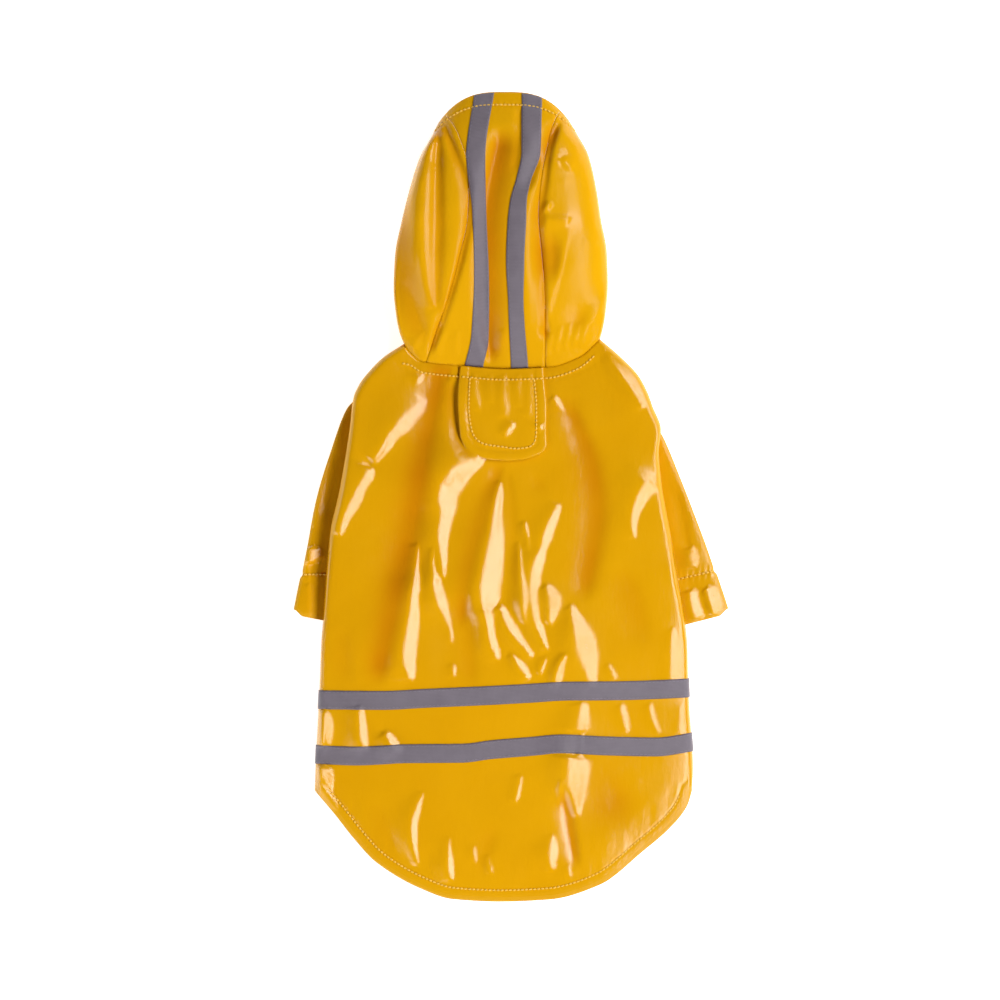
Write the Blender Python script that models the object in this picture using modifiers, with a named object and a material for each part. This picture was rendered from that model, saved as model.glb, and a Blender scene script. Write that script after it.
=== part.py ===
"""Dog raincoat in coated cloth, laid flat on its belly with its back up.

Frame: +X to the right of the coat seen from above, +Y towards the hood, +Z up.
The floor is z = 0 and the origin lies under the middle of the coat.
Sizes and tables are in millimetres, and the meshes are in metres.
"""
from collections import namedtuple

import bmesh
import bpy
import numpy as np

MM = 0.001

# Cloth and trim.
CLOTH_WALL = 1.2
TAPE_WALL = 1.0
SEAM_GAP = 0.3
TAPE_WIDTH = 10.6
ARCH_POWER = 2.4        # how square the top of a flattened tube is, across
ARCH_ROUND = 0.46       # how round it turns down to its side folds
OVERLAY_GAP = 0.5       # between a panel and what is sewn on it

# Neck seam on the back, left to right. Under the throat it runs straight between its ends.
NeckPoint = namedtuple("NeckPoint", "x y")
NECK_SEAM = [
    NeckPoint(-60.6, 86.5), NeckPoint(-56, 80.5), NeckPoint(-50, 76.3), NeckPoint(-28, 74.0),
    NeckPoint(-4.5, 72.2), NeckPoint(21, 73.2), NeckPoint(38, 78.6), NeckPoint(50.4, 89.0),
]
NECK_LEFT = NECK_SEAM[0]
NECK_RIGHT = NECK_SEAM[-1]
NECK_CROWN = 13.5

# Side of the back panel, from the neck to the end of the side seam. edge: the side fold.
# fold: its height. under: height just inside the fold, on the underside, where the cloth
# rides over the sleeve. seam_x, seam_z: where the wrapped edge ends.
Side = namedtuple("Side", "y edge fold under seam_x seam_z")
BACK_LEFT = [
    Side(86.5, -60.6, 6.0, 0.0, -48.0, 0.0),
    Side(78.7, -72.4, 6.4, 0.0, -56.0, 0.0),
    Side(72.0, -79.2, 6.8, 0.0, -66.0, 0.0),
    Side(64.0, -85.4, 8.6, 5.2, -76.5, 5.0),
    Side(56.0, -88.9, 9.4, 6.4, -79.0, 6.4),
    Side(37.9, -91.1, 10.0, 6.9, -75.5, 6.9),
    Side(9.6, -95.7, 10.6, 7.6, -71.0, 7.6),
    Side(-4.0, -98.5, 11.0, 8.0, -64.0, 6.4),
    Side(-16.0, -101.3, 11.4, 8.4, -50.0, 0.5),
    Side(-26.0, -102.6, 11.6, 8.6, -47.0, 0.0),
    Side(-40.0, -103.9, 11.9, 8.9, -47.0, 0.0),
    Side(-67.4, -105.8, 12.2, 9.3, -49.0, 0.0),
    Side(-80.9, -107.0, 11.4, 8.6, -53.0, 0.0),
    Side(-98.0, -107.8, 7.8, 3.8, -64.0, 0.0),
    Side(-116.0, -108.7, 5.0, 0.8, -77.0, 0.0),
    Side(-150.0, -110.4, 4.0, 0.0, -98.0, 0.0),
    Side(-165.8, -110.9, 3.6, 0.0, -102.0, 0.0),
]
BACK_RIGHT = [
    Side(89.0, 50.4, 6.0, 0.0, 38.0, 0.0),
    Side(78.7, 62.3, 6.4, 0.0, 46.0, 0.0),
    Side(68.0, 72.3, 6.8, 0.0, 57.0, 0.0),
    Side(58.0, 77.5, 8.8, 5.6, 68.5, 5.4),
    Side(51.5, 79.8, 9.4, 6.4, 71.5, 6.4),
    Side(37.9, 84.6, 10.0, 6.9, 69.5, 6.9),
    Side(26.0, 83.4, 10.3, 7.3, 68.0, 7.3),
    Side(5.7, 85.2, 10.8, 7.8, 65.0, 7.8),
    Side(-6.0, 87.2, 11.0, 8.0, 58.5, 6.4),
    Side(-18.0, 89.5, 11.4, 8.4, 45.0, 0.5),
    Side(-28.0, 91.1, 11.6, 8.6, 42.0, 0.0),
    Side(-42.0, 93.4, 11.9, 8.9, 42.0, 0.0),
    Side(-72.4, 98.5, 12.2, 9.3, 45.0, 0.0),
    Side(-84.0, 99.6, 11.4, 8.6, 48.0, 0.0),
    Side(-100.0, 100.2, 7.8, 3.8, 59.0, 0.0),
    Side(-118.0, 101.0, 5.0, 0.8, 71.0, 0.0),
    Side(-152.3, 103.0, 4.0, 0.0, 90.0, 0.0),
    Side(-165.8, 102.4, 3.6, 0.0, 93.5, 0.0),
]
SIDE_TURN = 3.4         # reach of the turn inside a side fold of the body
FALL_START = 0.62       # the wrapped edge comes down off the sleeve between these shares
FALL_END = 0.88         # of its width, and ends flat on the floor

# Round tail hem, corner to corner, and the height of the top surface down the middle.
HemPoint = namedtuple("HemPoint", "x y")
TAIL_HEM = [
    HemPoint(-110.9, -165.8), HemPoint(-99.6, -179.4), HemPoint(-88.9, -193.0),
    HemPoint(-76.4, -206.4), HemPoint(-52.0, -221.0), HemPoint(-32.8, -227.4),
    HemPoint(-6.0, -228.8), HemPoint(22.0, -227.6), HemPoint(50.0, -219.4),
    HemPoint(74.7, -200.2), HemPoint(90.6, -186.2), HemPoint(99.6, -174.5),
    HemPoint(102.4, -165.8),
]
Crown = namedtuple("Crown", "along height")
BACK_CROWN = [
    Crown(0.0, NECK_CROWN), Crown(0.07, 16.5), Crown(0.2, 19.0), Crown(0.42, 20.0),
    Crown(0.56, 18.6), Crown(0.68, 15.2), Crown(0.82, 12.0), Crown(0.92, 7.6),
    Crown(0.98, 5.6), Crown(1.0, 4.8),
]
HEM_SETTLE = 3.0        # how far the middle of the hem comes down towards the floor

# Folds of the back: crest through the points, height above (or depth below) the panel.
Fold = namedtuple("Fold", "points height width")
BACK_FOLDS = [
    Fold([(-46, 63), (-60, 38), (-75, 10), (-88, -18)], 1.6, 8.0),
    Fold([(-39.6, 66), (-48, 41), (-57, 7), (-63, -30), (-77, -77)], -2.0, 9.0),
    Fold([(-34, 66), (-40, 32), (-47, -13), (-54, -58), (-57, -100)], 2.2, 9.0),
    Fold([(-24, 16), (-34, -2), (-36, -24), (-32, -58), (-31, -98)], 1.6, 7.5),
    Fold([(-8, 17), (-16, -6), (-23, -40)], -1.8, 7.0),
    Fold([(-6, 4), (-13, -36), (-10, -82)], 2.0, 7.5),
    Fold([(-2, -56), (6, -78), (15, -97)], 1.6, 7.0),
    Fold([(0, 14), (3, -13), (6, -47), (8, -66)], -1.8, 6.5),
    Fold([(27, -8), (16, -32), (15, -58), (17, -80)], 1.8, 7.0),
    Fold([(28, -50), (36, -68), (46, -88)], 1.6, 8.0),
    Fold([(41, 34), (48, 12), (47, -13), (43, -44)], -1.6, 8.0),
    Fold([(80, 6), (71, -5), (68, -26)], 1.6, 7.0),
    Fold([(-62, -115), (-68, -128), (-70, -140)], 1.2, 8.0),
    Fold([(38, -112), (46, -126), (44, -142)], 1.2, 8.0),
    Fold([(29, -152), (32, -170), (37, -204)], 1.4, 7.0),
    Fold([(-56, -168), (-54, -186), (-52, -206)], 1.0, 8.0),
    Fold([(-32, -184), (-33, -212)], 0.9, 7.0),
]

# Belly panel, between the wrapped edges of the back and the roots of the sleeves.
BELLY_LAST = 29         # last row of the back panel that it runs beside
ARMHOLE_GAP = 1.2       # where the back and the sleeve rise off the floor beside it
SHOULDER = 16.0         # how far above a sleeve's root the back starts to rise
BELLY_CELLS = 12
BELLY_HEM_RISE = 62.0
BELLY_HEM_POWER = 2.2
BELLY_HEM_EASE = 3      # how late down the panel its rows start to follow the hem

# Short sleeves, from the armhole to the hem: outer fold, inner fold and thickness.
Sleeve = namedtuple("Sleeve", "outer_x outer_y inner_x inner_y height")
SLEEVE_LEFT = [
    Sleeve(-80.5, 60.0, -66.0, -2.0, 5.2), Sleeve(-91.7, 51.5, -67.0, -12.0, 6.0),
    Sleeve(-102.4, 24.3, -68.0, -26.0, 6.8), Sleeve(-110.4, -2.8, -69.0, -41.0, 7.5),
    Sleeve(-115.5, -30.0, -70.0, -56.0, 8.1), Sleeve(-122.3, -66.5, -72.0, -76.5, 8.6),
]
SLEEVE_RIGHT = [
    Sleeve(75.5, 51.0, 60.5, -4.0, 5.2), Sleeve(85.4, 35.1, 62.0, -13.0, 6.0),
    Sleeve(95.7, 10.8, 64.0, -27.0, 6.8), Sleeve(103.6, -9.6, 66.0, -43.0, 7.5),
    Sleeve(112.2, -33.0, 68.5, -58.0, 8.1), Sleeve(122.3, -66.0, 71.2, -79.0, 8.6),
]
SLEEVE_SQUARE = 3.0     # superellipse power of a sleeve's flattened section
SLEEVE_CORNER = 3.0     # rounding of the hem's outer corner

# Hood, from the neck seam (along 0) to the brim (along 1). left and right: the outline.
# seam_l and seam_r: the seams of the centre strip. turn: reach of the side turn.
# hem_l and hem_r: edges of the face opening, on the underside.
Hood = namedtuple("Hood", "along left seam_l seam_r right crown fold turn hem_l hem_r")
HOOD = [
    Hood(0.00, -60.6, -48.1, 19.2, 50.4, 13.5, 6.0, 3.4, -5.3, -4.7),
    Hood(0.05, -63.0, -45.6, 19.2, 52.0, 16.0, 7.4, 6.0, -14.0, 3.0),
    Hood(0.12, -64.8, -42.2, 19.2, 53.5, 20.0, 9.0, 8.0, -27.0, 16.0),
    Hood(0.25, -66.2, -35.1, 19.0, 54.7, 26.0, 11.0, 9.5, -41.0, 30.0),
    Hood(0.40, -65.4, -28.9, 17.3, 54.1, 29.5, 12.0, 10.0, -44.5, 34.0),
    Hood(0.55, -61.8, -24.3, 15.3, 50.9, 30.0, 12.0, 10.0, -43.5, 33.0),
    Hood(0.70, -57.2, -23.8, 17.3, 48.1, 27.5, 11.0, 9.0, -41.0, 31.5),
    Hood(0.85, -51.3, -29.5, 21.8, 43.9, 21.0, 8.2, 7.0, -38.5, 30.5),
    Hood(0.95, -44.6, -35.2, 25.8, 37.6, 13.5, 5.2, 4.0, -36.8, 29.6),
    Hood(1.00, -41.3, -37.5, 28.4, 34.0, 9.0, 3.6, 2.6, -36.0, 28.0),
]
BRIM_SIDE_Y = 211.0
BRIM_BOW = 17.6
BRIM_BOW_POWER = 3.0
HOOD_FOLDS = [
    Fold([(-46, 82), (-35, 110), (-29, 131), (-24, 152), (-24, 172), (-30, 193)], -2.2, 5.0),
    Fold([(20, 84), (19, 108), (17, 129), (15, 150), (17, 172), (22, 193)], -2.0, 5.0),
    Fold([(-47, 196), (-46, 160), (-46, 120)], 2.6, 9.0),
    Fold([(-19, 104), (-19, 140), (-21, 186)], 1.8, 4.5),
    Fold([(-8, 84), (-8, 118), (-8, 154), (-5, 184)], -4.2, 6.5),
    Fold([(10, 92), (10, 124), (11, 160), (13, 192)], 1.8, 5.0),
    Fold([(40, 172), (44, 140), (42, 112)], 2.2, 9.0),
    Fold([(27, 152), (26, 138), (22, 124)], -3.2, 7.0),
    Fold([(36, 84), (40, 94), (46, 106)], -1.6, 5.0),
    Fold([(30, 80), (31, 90), (33, 100)], 1.4, 4.5),
    Fold([(-54, 90), (-52, 102)], 1.2, 5.0),
]

# Tapes of the hood: middle line and visible half width, along the hood.
HoodTape = namedtuple("HoodTape", "along middle half")
TAPE_HOOD_LEFT = [
    HoodTape(0.00, -21.0, 5.1), HoodTape(0.12, -17.4, 4.8), HoodTape(0.31, -16.6, 4.2),
    HoodTape(0.56, -17.8, 3.8), HoodTape(0.76, -19.8, 5.2), HoodTape(1.00, -15.0, 5.6),
]
TAPE_HOOD_RIGHT = [
    HoodTape(0.00, 4.9, 4.8), HoodTape(0.23, 2.8, 4.2), HoodTape(0.38, 2.4, 5.0),
    HoodTape(0.52, 3.3, 5.1), HoodTape(0.60, 4.2, 4.6), HoodTape(0.67, 6.8, 4.2),
    HoodTape(0.78, 11.2, 5.2), HoodTape(1.00, 11.8, 5.7),
]

# Tapes of the back: height of the middle line, left to right.
TapeLine = namedtuple("TapeLine", "x y")
TAPE_UPPER = [
    TapeLine(-110, -114.3), TapeLine(-73, -114.5), TapeLine(-46, -113.2), TapeLine(-17, -111.9),
    TapeLine(11, -110.4), TapeLine(31, -109.2), TapeLine(62, -109.0), TapeLine(103, -107.5),
]
TAPE_LOWER = [
    TapeLine(-110, -145.3), TapeLine(-88, -146.0), TapeLine(-58, -144.6), TapeLine(-27, -144.3),
    TapeLine(-11, -142.3), TapeLine(12, -140.4), TapeLine(29, -139.0), TapeLine(51, -140.1),
    TapeLine(82, -140.9), TapeLine(103, -138.1),
]
TAPE_END = 1.45         # the ends turn this far round the side folds (1 top, 2 underside)

# Leash flap: its sides from the neck seam down, and its rounded lower edge.
FlapSide = namedtuple("FlapSide", "along left right")
FLAP_SIDES = [
    FlapSide(0.0, -28.6, 18.3), FlapSide(0.2, -29.4, 19.0), FlapSide(0.5, -30.0, 20.1),
    FlapSide(0.8, -29.4, 19.9), FlapSide(1.0, -28.7, 20.3),
]
FLAP_HEM = [
    HemPoint(-28.7, 34.5), HemPoint(-26.6, 29.0), HemPoint(-23.4, 25.2), HemPoint(-19.0, 22.8),
    HemPoint(-12.5, 21.0), HemPoint(-2.0, 20.4), HemPoint(6.0, 20.9), HemPoint(13.6, 23.0),
    HemPoint(18.2, 25.6), HemPoint(20.3, 29.5),
]
FlapLift = namedtuple("FlapLift", "along left right")
FLAP_LIFT = [
    FlapLift(0.0, 0.2, 0.2), FlapLift(0.35, 1.8, 0.9), FlapLift(0.8, 2.4, 1.4), FlapLift(1.0, 2.2, 1.6),
]

# Grid densities, in cells.
TOP_CELLS = 26
TURN_CELLS = 3
UNDER_RUNS = (0.3, FALL_START, 0.75, FALL_END, 1.0)
BACK_ROWS = 30
HOOD_ROWS = 22
STRIP_CELLS = 18
HOOD_SIDE_CELLS = 7
SLEEVE_RING = 20
SLEEVE_ROWS = 9
FLAP_CELLS = 9
TAPE_CELLS = 4

YELLOW = (0.75, 0.36, 0.003, 1.0)
GREY = (0.19, 0.16, 0.2, 1.0)


def column(rows, name):
    return np.array([getattr(row, name) for row in rows], float)


def smooth(at, xs, ys):
    """Monotone cubic through the points (xs, ys): no overshoot, level past both ends."""
    if xs[0] > xs[-1]:
        xs, ys = xs[::-1], ys[::-1]
    step = np.diff(xs)
    slope = np.diff(ys) / step
    tangent = np.concatenate(([slope[0]], np.zeros(len(slope) - 1), [slope[-1]]))
    product = slope[:-1] * slope[1:]
    total = np.where(product > 0, slope[:-1] + slope[1:], 1.0)
    tangent[1:-1] = np.where(product > 0, 2 * product / total, 0.0)
    at = np.clip(at, xs[0], xs[-1])
    cell = np.clip(np.searchsorted(xs, at) - 1, 0, len(step) - 1)
    t = (at - xs[cell]) / step[cell]
    return (
        ys[cell] * (1 + 2 * t) * (1 - t) ** 2
        + ys[cell + 1] * t * t * (3 - 2 * t)
        + step[cell] * (tangent[cell] * t * (1 - t) ** 2 - tangent[cell + 1] * t * t * (1 - t))
    )


def track(rows, name, at, by="y"):
    """Value of one column of a table at the place `at` of the column `by`."""
    return smooth(at, column(rows, by), column(rows, name))


def blend(low, high, share):
    return low + (high - low) * share


def ease(share):
    share = np.clip(share, 0.0, 1.0)
    return share * share * (3 - 2 * share)


def fold_relief(folds, x, y):
    """Height that the folds add at (x, y): overlapping round bumps along each crest."""
    relief = np.zeros_like(x)
    for fold in folds:
        points = np.array(fold.points, float)
        length = np.linalg.norm(np.diff(points, axis=0), axis=1).sum()
        count = max(4, int(np.ceil(2 * length / fold.width)))
        place = (np.arange(count) + 0.5) / count
        knots = np.linspace(0, 1, len(points))
        crest_x = smooth(place, knots, points[:, 0])
        crest_y = smooth(place, knots, points[:, 1])
        weight = fold.height * (length / count) / (fold.width * np.sqrt(np.pi))
        taper = np.sin(np.pi * place) ** 0.6
        for bump_x, bump_y, share in zip(crest_x, crest_y, taper):
            distance = (x - bump_x) ** 2 + (y - bump_y) ** 2
            relief += weight * share * np.exp(-distance / fold.width ** 2)
    return relief


def arch(across):
    """Height of a flattened tube across its width: 1 in the middle, 0 at the side folds."""
    share = 1 - np.abs(np.clip(across, -1, 1)) ** ARCH_POWER
    return share ** ARCH_ROUND


def neck_y(x):
    return smooth(x, column(NECK_SEAM, "x"), column(NECK_SEAM, "y"))


def throat_y(x):
    """Neck seam on the underside."""
    return blend(NECK_LEFT.y, NECK_RIGHT.y, (x - NECK_LEFT.x) / (NECK_RIGHT.x - NECK_LEFT.x))


def throat_shift(x, across, along):
    """Shift in y that brings the first rows of the underside onto the straight throat seam."""
    start = np.where(across < 0, NECK_LEFT.y, NECK_RIGHT.y)
    return np.where(np.abs(across) > 1, throat_y(x) - start, 0) * (1 - along) ** 8


def section(across, left, right, crown):
    """Cross-section of a flattened tube.

    |across| up to 1 is the top, 1 to 2 the turn at a side fold, and 2 to 3 the wrapped
    edge on the underside. left and right are dictionaries of the side's values.
    """
    share = (np.clip(across, -1, 1) + 1) / 2
    top_x = blend(left["edge"], right["edge"], share)
    base = blend(left["fold"], right["fold"], share)
    top_z = base + (crown - base) * arch(across)
    x, z = top_x, top_z
    for side, sign in ((left, -1), (right, 1)):
        beyond = sign * across - 1
        angle = np.clip(beyond, 0, 1) * np.pi / 2
        turned_x = side["edge"] - sign * side["turn"] * (1 - np.cos(angle))
        turned_z = blend(side["fold"], side["under"], np.sin(angle))
        run = np.clip(beyond - 1, 0, 1)
        inner = side["edge"] - sign * side["turn"]
        fall = ease((run - FALL_START) / (FALL_END - FALL_START))
        wrapped_x = blend(inner, side["seam_x"], run)
        wrapped_z = blend(side["under"], side["seam_z"], fall)
        x = np.where(beyond > 1, wrapped_x, np.where(beyond > 0, turned_x, x))
        z = np.where(beyond > 1, wrapped_z, np.where(beyond > 0, turned_z, z))
    return x, z


def back_side(rows, along):
    y = blend(rows[0].y, rows[-1].y, along)
    values = {name: track(rows, name, y) for name in ("edge", "fold", "under", "seam_x", "seam_z")}
    values["turn"] = SIDE_TURN
    return y, values


def back_point(across, along):
    """Outer surface of the back panel: along runs from the neck seam (0) to the hem (1)."""
    left_y, left = back_side(BACK_LEFT, along)
    right_y, right = back_side(BACK_RIGHT, along)
    crown = track(BACK_CROWN, "height", along, by="along")
    x, z = section(across, left, right, crown)
    share = (np.clip(across, -1, 1) + 1) / 2
    seam_y = neck_y(blend(NECK_LEFT.x, NECK_RIGHT.x, share))
    hem_x = blend(TAIL_HEM[0].x, TAIL_HEM[-1].x, share)
    hem_y = smooth(hem_x, column(TAIL_HEM, "x"), column(TAIL_HEM, "y"))
    top_y = blend(seam_y, hem_y, along)
    y = np.where(across < -1, left_y, np.where(across > 1, right_y, top_y))
    y = y + throat_shift(x, across, along) - SEAM_GAP / 2
    settle = HEM_SETTLE * ease((along - 0.9) / 0.1) * (1 - np.clip(across, -1, 1) ** 4)
    return x, y, z - settle + fold_relief(BACK_FOLDS, x, y) * arch(across) * ease((1 - along) / 0.06)


def hood_point(across, along):
    """Outer surface of the hood: along runs from the neck seam (0) to the brim (1)."""
    fold = track(HOOD, "fold", along, by="along")
    side = {"fold": fold, "under": 0.0, "seam_z": 0.0, "turn": track(HOOD, "turn", along, by="along")}
    left = dict(side, edge=track(HOOD, "left", along, by="along"),
                seam_x=track(HOOD, "hem_l", along, by="along"))
    right = dict(side, edge=track(HOOD, "right", along, by="along"),
                 seam_x=track(HOOD, "hem_r", along, by="along"))
    x, z = section(across, left, right, track(HOOD, "crown", along, by="along"))
    share = (np.clip(across, -1, 1) + 1) / 2
    seam_y = neck_y(blend(NECK_LEFT.x, NECK_RIGHT.x, share))
    bow = 1 - np.abs(np.clip(across, -1, 1)) ** BRIM_BOW_POWER
    top_y = blend(seam_y, BRIM_SIDE_Y + BRIM_BOW * bow, along)
    level = blend(np.where(across < 0, NECK_LEFT.y, NECK_RIGHT.y), BRIM_SIDE_Y, along)
    y = np.where(np.abs(across) > 1, level, top_y)
    y = y + throat_shift(x, across, along) + SEAM_GAP / 2
    flat_seam = ease(along / 0.05) * ease((1 - along) / 0.06)
    return x, y, z + fold_relief(HOOD_FOLDS, x, y) * arch(across) * flat_seam


def hood_across(x, along):
    """Where on the top of the hood the width x lies."""
    left = track(HOOD, "left", along, by="along")
    right = track(HOOD, "right", along, by="along")
    return 2 * (x - left) / (right - left) - 1


def moved_out(point, across, along, distance):
    """Point of a surface moved out along its normal."""
    step = 1e-3
    here = np.array(point(across, along))
    over = np.array(point(across + step, along)) - np.array(point(across - step, along))
    on = np.array(point(across, along + step)) - np.array(point(across, along - step))
    normal = np.cross(over, on, axis=0)
    normal /= np.linalg.norm(normal, axis=0)
    normal *= np.sign(normal[2].mean())
    return here + normal * distance


def back_along(across, line_y):
    """Place along the back panel where its column `across` meets the line y = line_y(x)."""
    column_place = np.clip(across, -1, 1)
    along = np.full_like(across, 0.6)
    for _ in range(8):
        x, _, _ = back_point(column_place, along)
        _, top, _ = back_point(column_place, np.zeros_like(across))
        _, bottom, _ = back_point(column_place, np.ones_like(across))
        along = (top - line_y(x)) / (top - bottom)
    return along


def back_place(x, y):
    """Across and along of the top of the back panel at (x, y)."""
    across = x / 100
    along = np.full_like(x, 0.3)
    for _ in range(10):
        _, left = back_side(BACK_LEFT, along)
        _, right = back_side(BACK_RIGHT, along)
        across = 2 * (x - left["edge"]) / (right["edge"] - left["edge"]) - 1
        along = back_along(across, lambda _: y)
    return across, along


def finish(name, colour, roughness):
    """Principled material of one piece."""
    material = bpy.data.materials.new(name)
    material.diffuse_color = colour
    material.use_nodes = True
    shader = material.node_tree.nodes["Principled BSDF"]
    shader.inputs["Base Color"].default_value = colour
    shader.inputs["Roughness"].default_value = roughness
    shader.inputs["Metallic"].default_value = 0.0
    return material


def sheet(name, columns, rows, place, colour, wall=CLOTH_WALL, roughness=0.25, closed=False):
    """Sheet of cloth on a grid: place(column, row) gives its outer points, the wall goes in."""
    mesh = bmesh.new()
    bmesh.ops.create_grid(mesh, x_segments=len(columns) - 1, y_segments=len(rows) - 1, size=1)
    points = np.array([vert.co for vert in mesh.verts])
    column_at = np.rint((points[:, 0] + 1) / 2 * (len(columns) - 1)).astype(int)
    row_at = np.rint((points[:, 1] + 1) / 2 * (len(rows) - 1)).astype(int)
    placed = np.array(place(np.asarray(columns)[column_at], np.asarray(rows)[row_at]))
    for vert, point in zip(mesh.verts, placed.T * MM):
        vert.co = point
    if closed:
        bmesh.ops.remove_doubles(mesh, verts=mesh.verts, dist=0.01 * MM)
    data = bpy.data.meshes.new(name)
    mesh.to_mesh(data)
    mesh.free()
    data.shade_smooth()
    data.materials.append(finish(name, colour, roughness))
    piece = bpy.data.objects.new(name, data)
    coat.objects.link(piece)
    thick = piece.modifiers.new("wall", "SOLIDIFY")
    thick.thickness = wall * MM
    thick.offset = -1
    return piece


def top_columns(cells):
    """Columns of the top, somewhat closer together near the side folds."""
    even = np.linspace(-1, 1, cells + 1)
    return blend(even, np.sin(even * np.pi / 2), 0.6)


def side_columns():
    """Columns from a side fold round to the wrapped edge."""
    turn = np.linspace(1, 2, TURN_CELLS + 1)[1:]
    return np.concatenate((turn, 2 + np.array(UNDER_RUNS)))


def make_back():
    beyond = side_columns()
    columns = np.concatenate((-beyond[::-1], top_columns(TOP_CELLS), beyond))
    rows = np.linspace(1, 0, BACK_ROWS + 1)
    sheet("back_panel", columns, rows, back_point, YELLOW)


def belly_edge(rows, sleeve, along):
    """Side edge of the belly panel: beside the wrapped back, or the root of the sleeve."""
    y, side = back_side(rows, along)
    inward = -np.sign(rows[0].edge)
    root = sleeve[0]
    armhole = (y > root.inner_y) & (y < root.outer_y + SHOULDER)
    gap = inward * np.where(armhole, ARMHOLE_GAP, SEAM_GAP)
    root_x = blend(root.inner_x, root.outer_x, (y - root.inner_y) / (root.outer_y - root.inner_y))
    beside = armhole & (y < root.outer_y)
    edge = np.where(beside, inward * np.maximum(inward * side["seam_x"], inward * root_x), side["seam_x"])
    return y, edge + gap


def belly_point(across, along):
    left_y, left_x = belly_edge(BACK_LEFT, SLEEVE_LEFT, along)
    right_y, right_x = belly_edge(BACK_RIGHT, SLEEVE_RIGHT, along)
    share = (across + 1) / 2
    x = blend(left_x, right_x, share)
    _, top_left = belly_edge(BACK_LEFT, SLEEVE_LEFT, np.zeros_like(along))
    _, top_right = belly_edge(BACK_RIGHT, SLEEVE_RIGHT, np.zeros_like(along))
    top_x = blend(top_left, top_right, share)
    down = along * BACK_ROWS / BELLY_LAST
    rise = BELLY_HEM_RISE * (1 - np.abs(across) ** BELLY_HEM_POWER) * down ** BELLY_HEM_EASE
    shift = (throat_y(top_x) - blend(NECK_LEFT.y, NECK_RIGHT.y, share)) * (1 - along) ** 8
    return x, blend(left_y, right_y, share) + shift + rise - SEAM_GAP / 2, np.zeros_like(x)


def make_belly():
    columns = np.linspace(1, -1, BELLY_CELLS + 1)
    rows = np.linspace(0, 1, BACK_ROWS + 1)[BELLY_LAST::-1]
    sheet("belly_panel", columns, rows, belly_point, YELLOW)


def make_sleeve(name, stations):
    """Flattened tube lying on the floor, from its root at the armhole to its hem."""
    place = np.linspace(0, 1, len(stations))

    def sleeve_point(turn, along):
        outer = np.array([smooth(along, place, column(stations, c)) for c in ("outer_x", "outer_y")])
        inner = np.array([smooth(along, place, column(stations, c)) for c in ("inner_x", "inner_y")])
        half_height = smooth(along, place, column(stations, "height")) / 2
        swing = np.sign(np.cos(turn)) * np.abs(np.cos(turn)) ** (2 / SLEEVE_SQUARE)
        lift = np.sign(np.sin(turn)) * np.abs(np.sin(turn)) ** (2 / SLEEVE_SQUARE)
        middle = (outer + inner) / 2
        x, y = middle + (outer - middle) * swing
        corner = SLEEVE_CORNER * ease((along - 0.8) / 0.2) * ease((swing - 0.8) / 0.2)
        return x, y + corner, half_height * (1 + lift)

    columns = np.linspace(0, 2 * np.pi, SLEEVE_RING + 1)
    if stations[0].outer_x > 0:
        columns = columns[::-1]
    rows = np.linspace(1, 0, SLEEVE_ROWS + 1)
    sheet(name, columns, rows, sleeve_point, YELLOW, closed=True)


def make_hood():
    """Centre strip between its seams, and the two side pieces that wrap under the face."""
    rows = np.linspace(0, 1, HOOD_ROWS + 1)
    gap = SEAM_GAP / 2
    beyond = side_columns()

    def seam(name, along, shift):
        return hood_across(track(HOOD, name, along, by="along") + shift, along)

    def strip(share, along):
        low = seam("seam_l", along, gap)
        high = seam("seam_r", along, -gap)
        return hood_point(blend(low, high, share), along)

    def left_side(place, along):
        low, high = -1.0, seam("seam_l", along, -gap)
        return hood_point(np.where(place < 0, place - 1, blend(low, high, place)), along)

    def right_side(place, along):
        low, high = seam("seam_r", along, gap), 1.0
        return hood_point(np.where(place > 1, place, blend(low, high, place)), along)

    inner = np.linspace(0, 1, HOOD_SIDE_CELLS + 1)
    sheet("hood_centre", np.linspace(0, 1, STRIP_CELLS + 1), rows, strip, YELLOW)
    sheet("hood_side_left", np.concatenate((1 - beyond[::-1], inner)), rows, left_side, YELLOW)
    sheet("hood_side_right", np.concatenate((inner, beyond)), rows, right_side, YELLOW)


def make_flap():
    """Leash flap, hung from the neck seam and standing a little off the back."""
    def flap_point(share, along):
        left = track(FLAP_SIDES, "left", along, by="along")
        right = track(FLAP_SIDES, "right", along, by="along")
        x = blend(left, right, share)
        hem = smooth(x, column(FLAP_HEM, "x"), column(FLAP_HEM, "y"))
        y = blend(neck_y(x) - SEAM_GAP, hem, along)
        lift = blend(track(FLAP_LIFT, "left", along, by="along"),
                     track(FLAP_LIFT, "right", along, by="along"), share)
        across, down = back_place(x, y)
        return moved_out(back_point, across, down, OVERLAY_GAP + CLOTH_WALL + lift)

    cells = np.linspace(0, 1, FLAP_CELLS + 1)
    sheet("leash_flap", cells, cells[::-1], flap_point, YELLOW)


def make_back_tape(name, line):
    """Reflective tape sewn flat across the back, from side fold to side fold."""
    def tape_point(across, edge):
        def line_y(x):
            return smooth(x, column(line, "x"), column(line, "y")) + edge * TAPE_WIDTH / 2
        return moved_out(back_point, across, back_along(across, line_y), OVERLAY_GAP + TAPE_WALL)

    ends = np.linspace(1, TAPE_END, 3)[1:]
    columns = np.concatenate((-ends[::-1], top_columns(TOP_CELLS), ends))
    sheet(name, columns, np.linspace(-1, 1, 3), tape_point, GREY, TAPE_WALL, 0.6)


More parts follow.
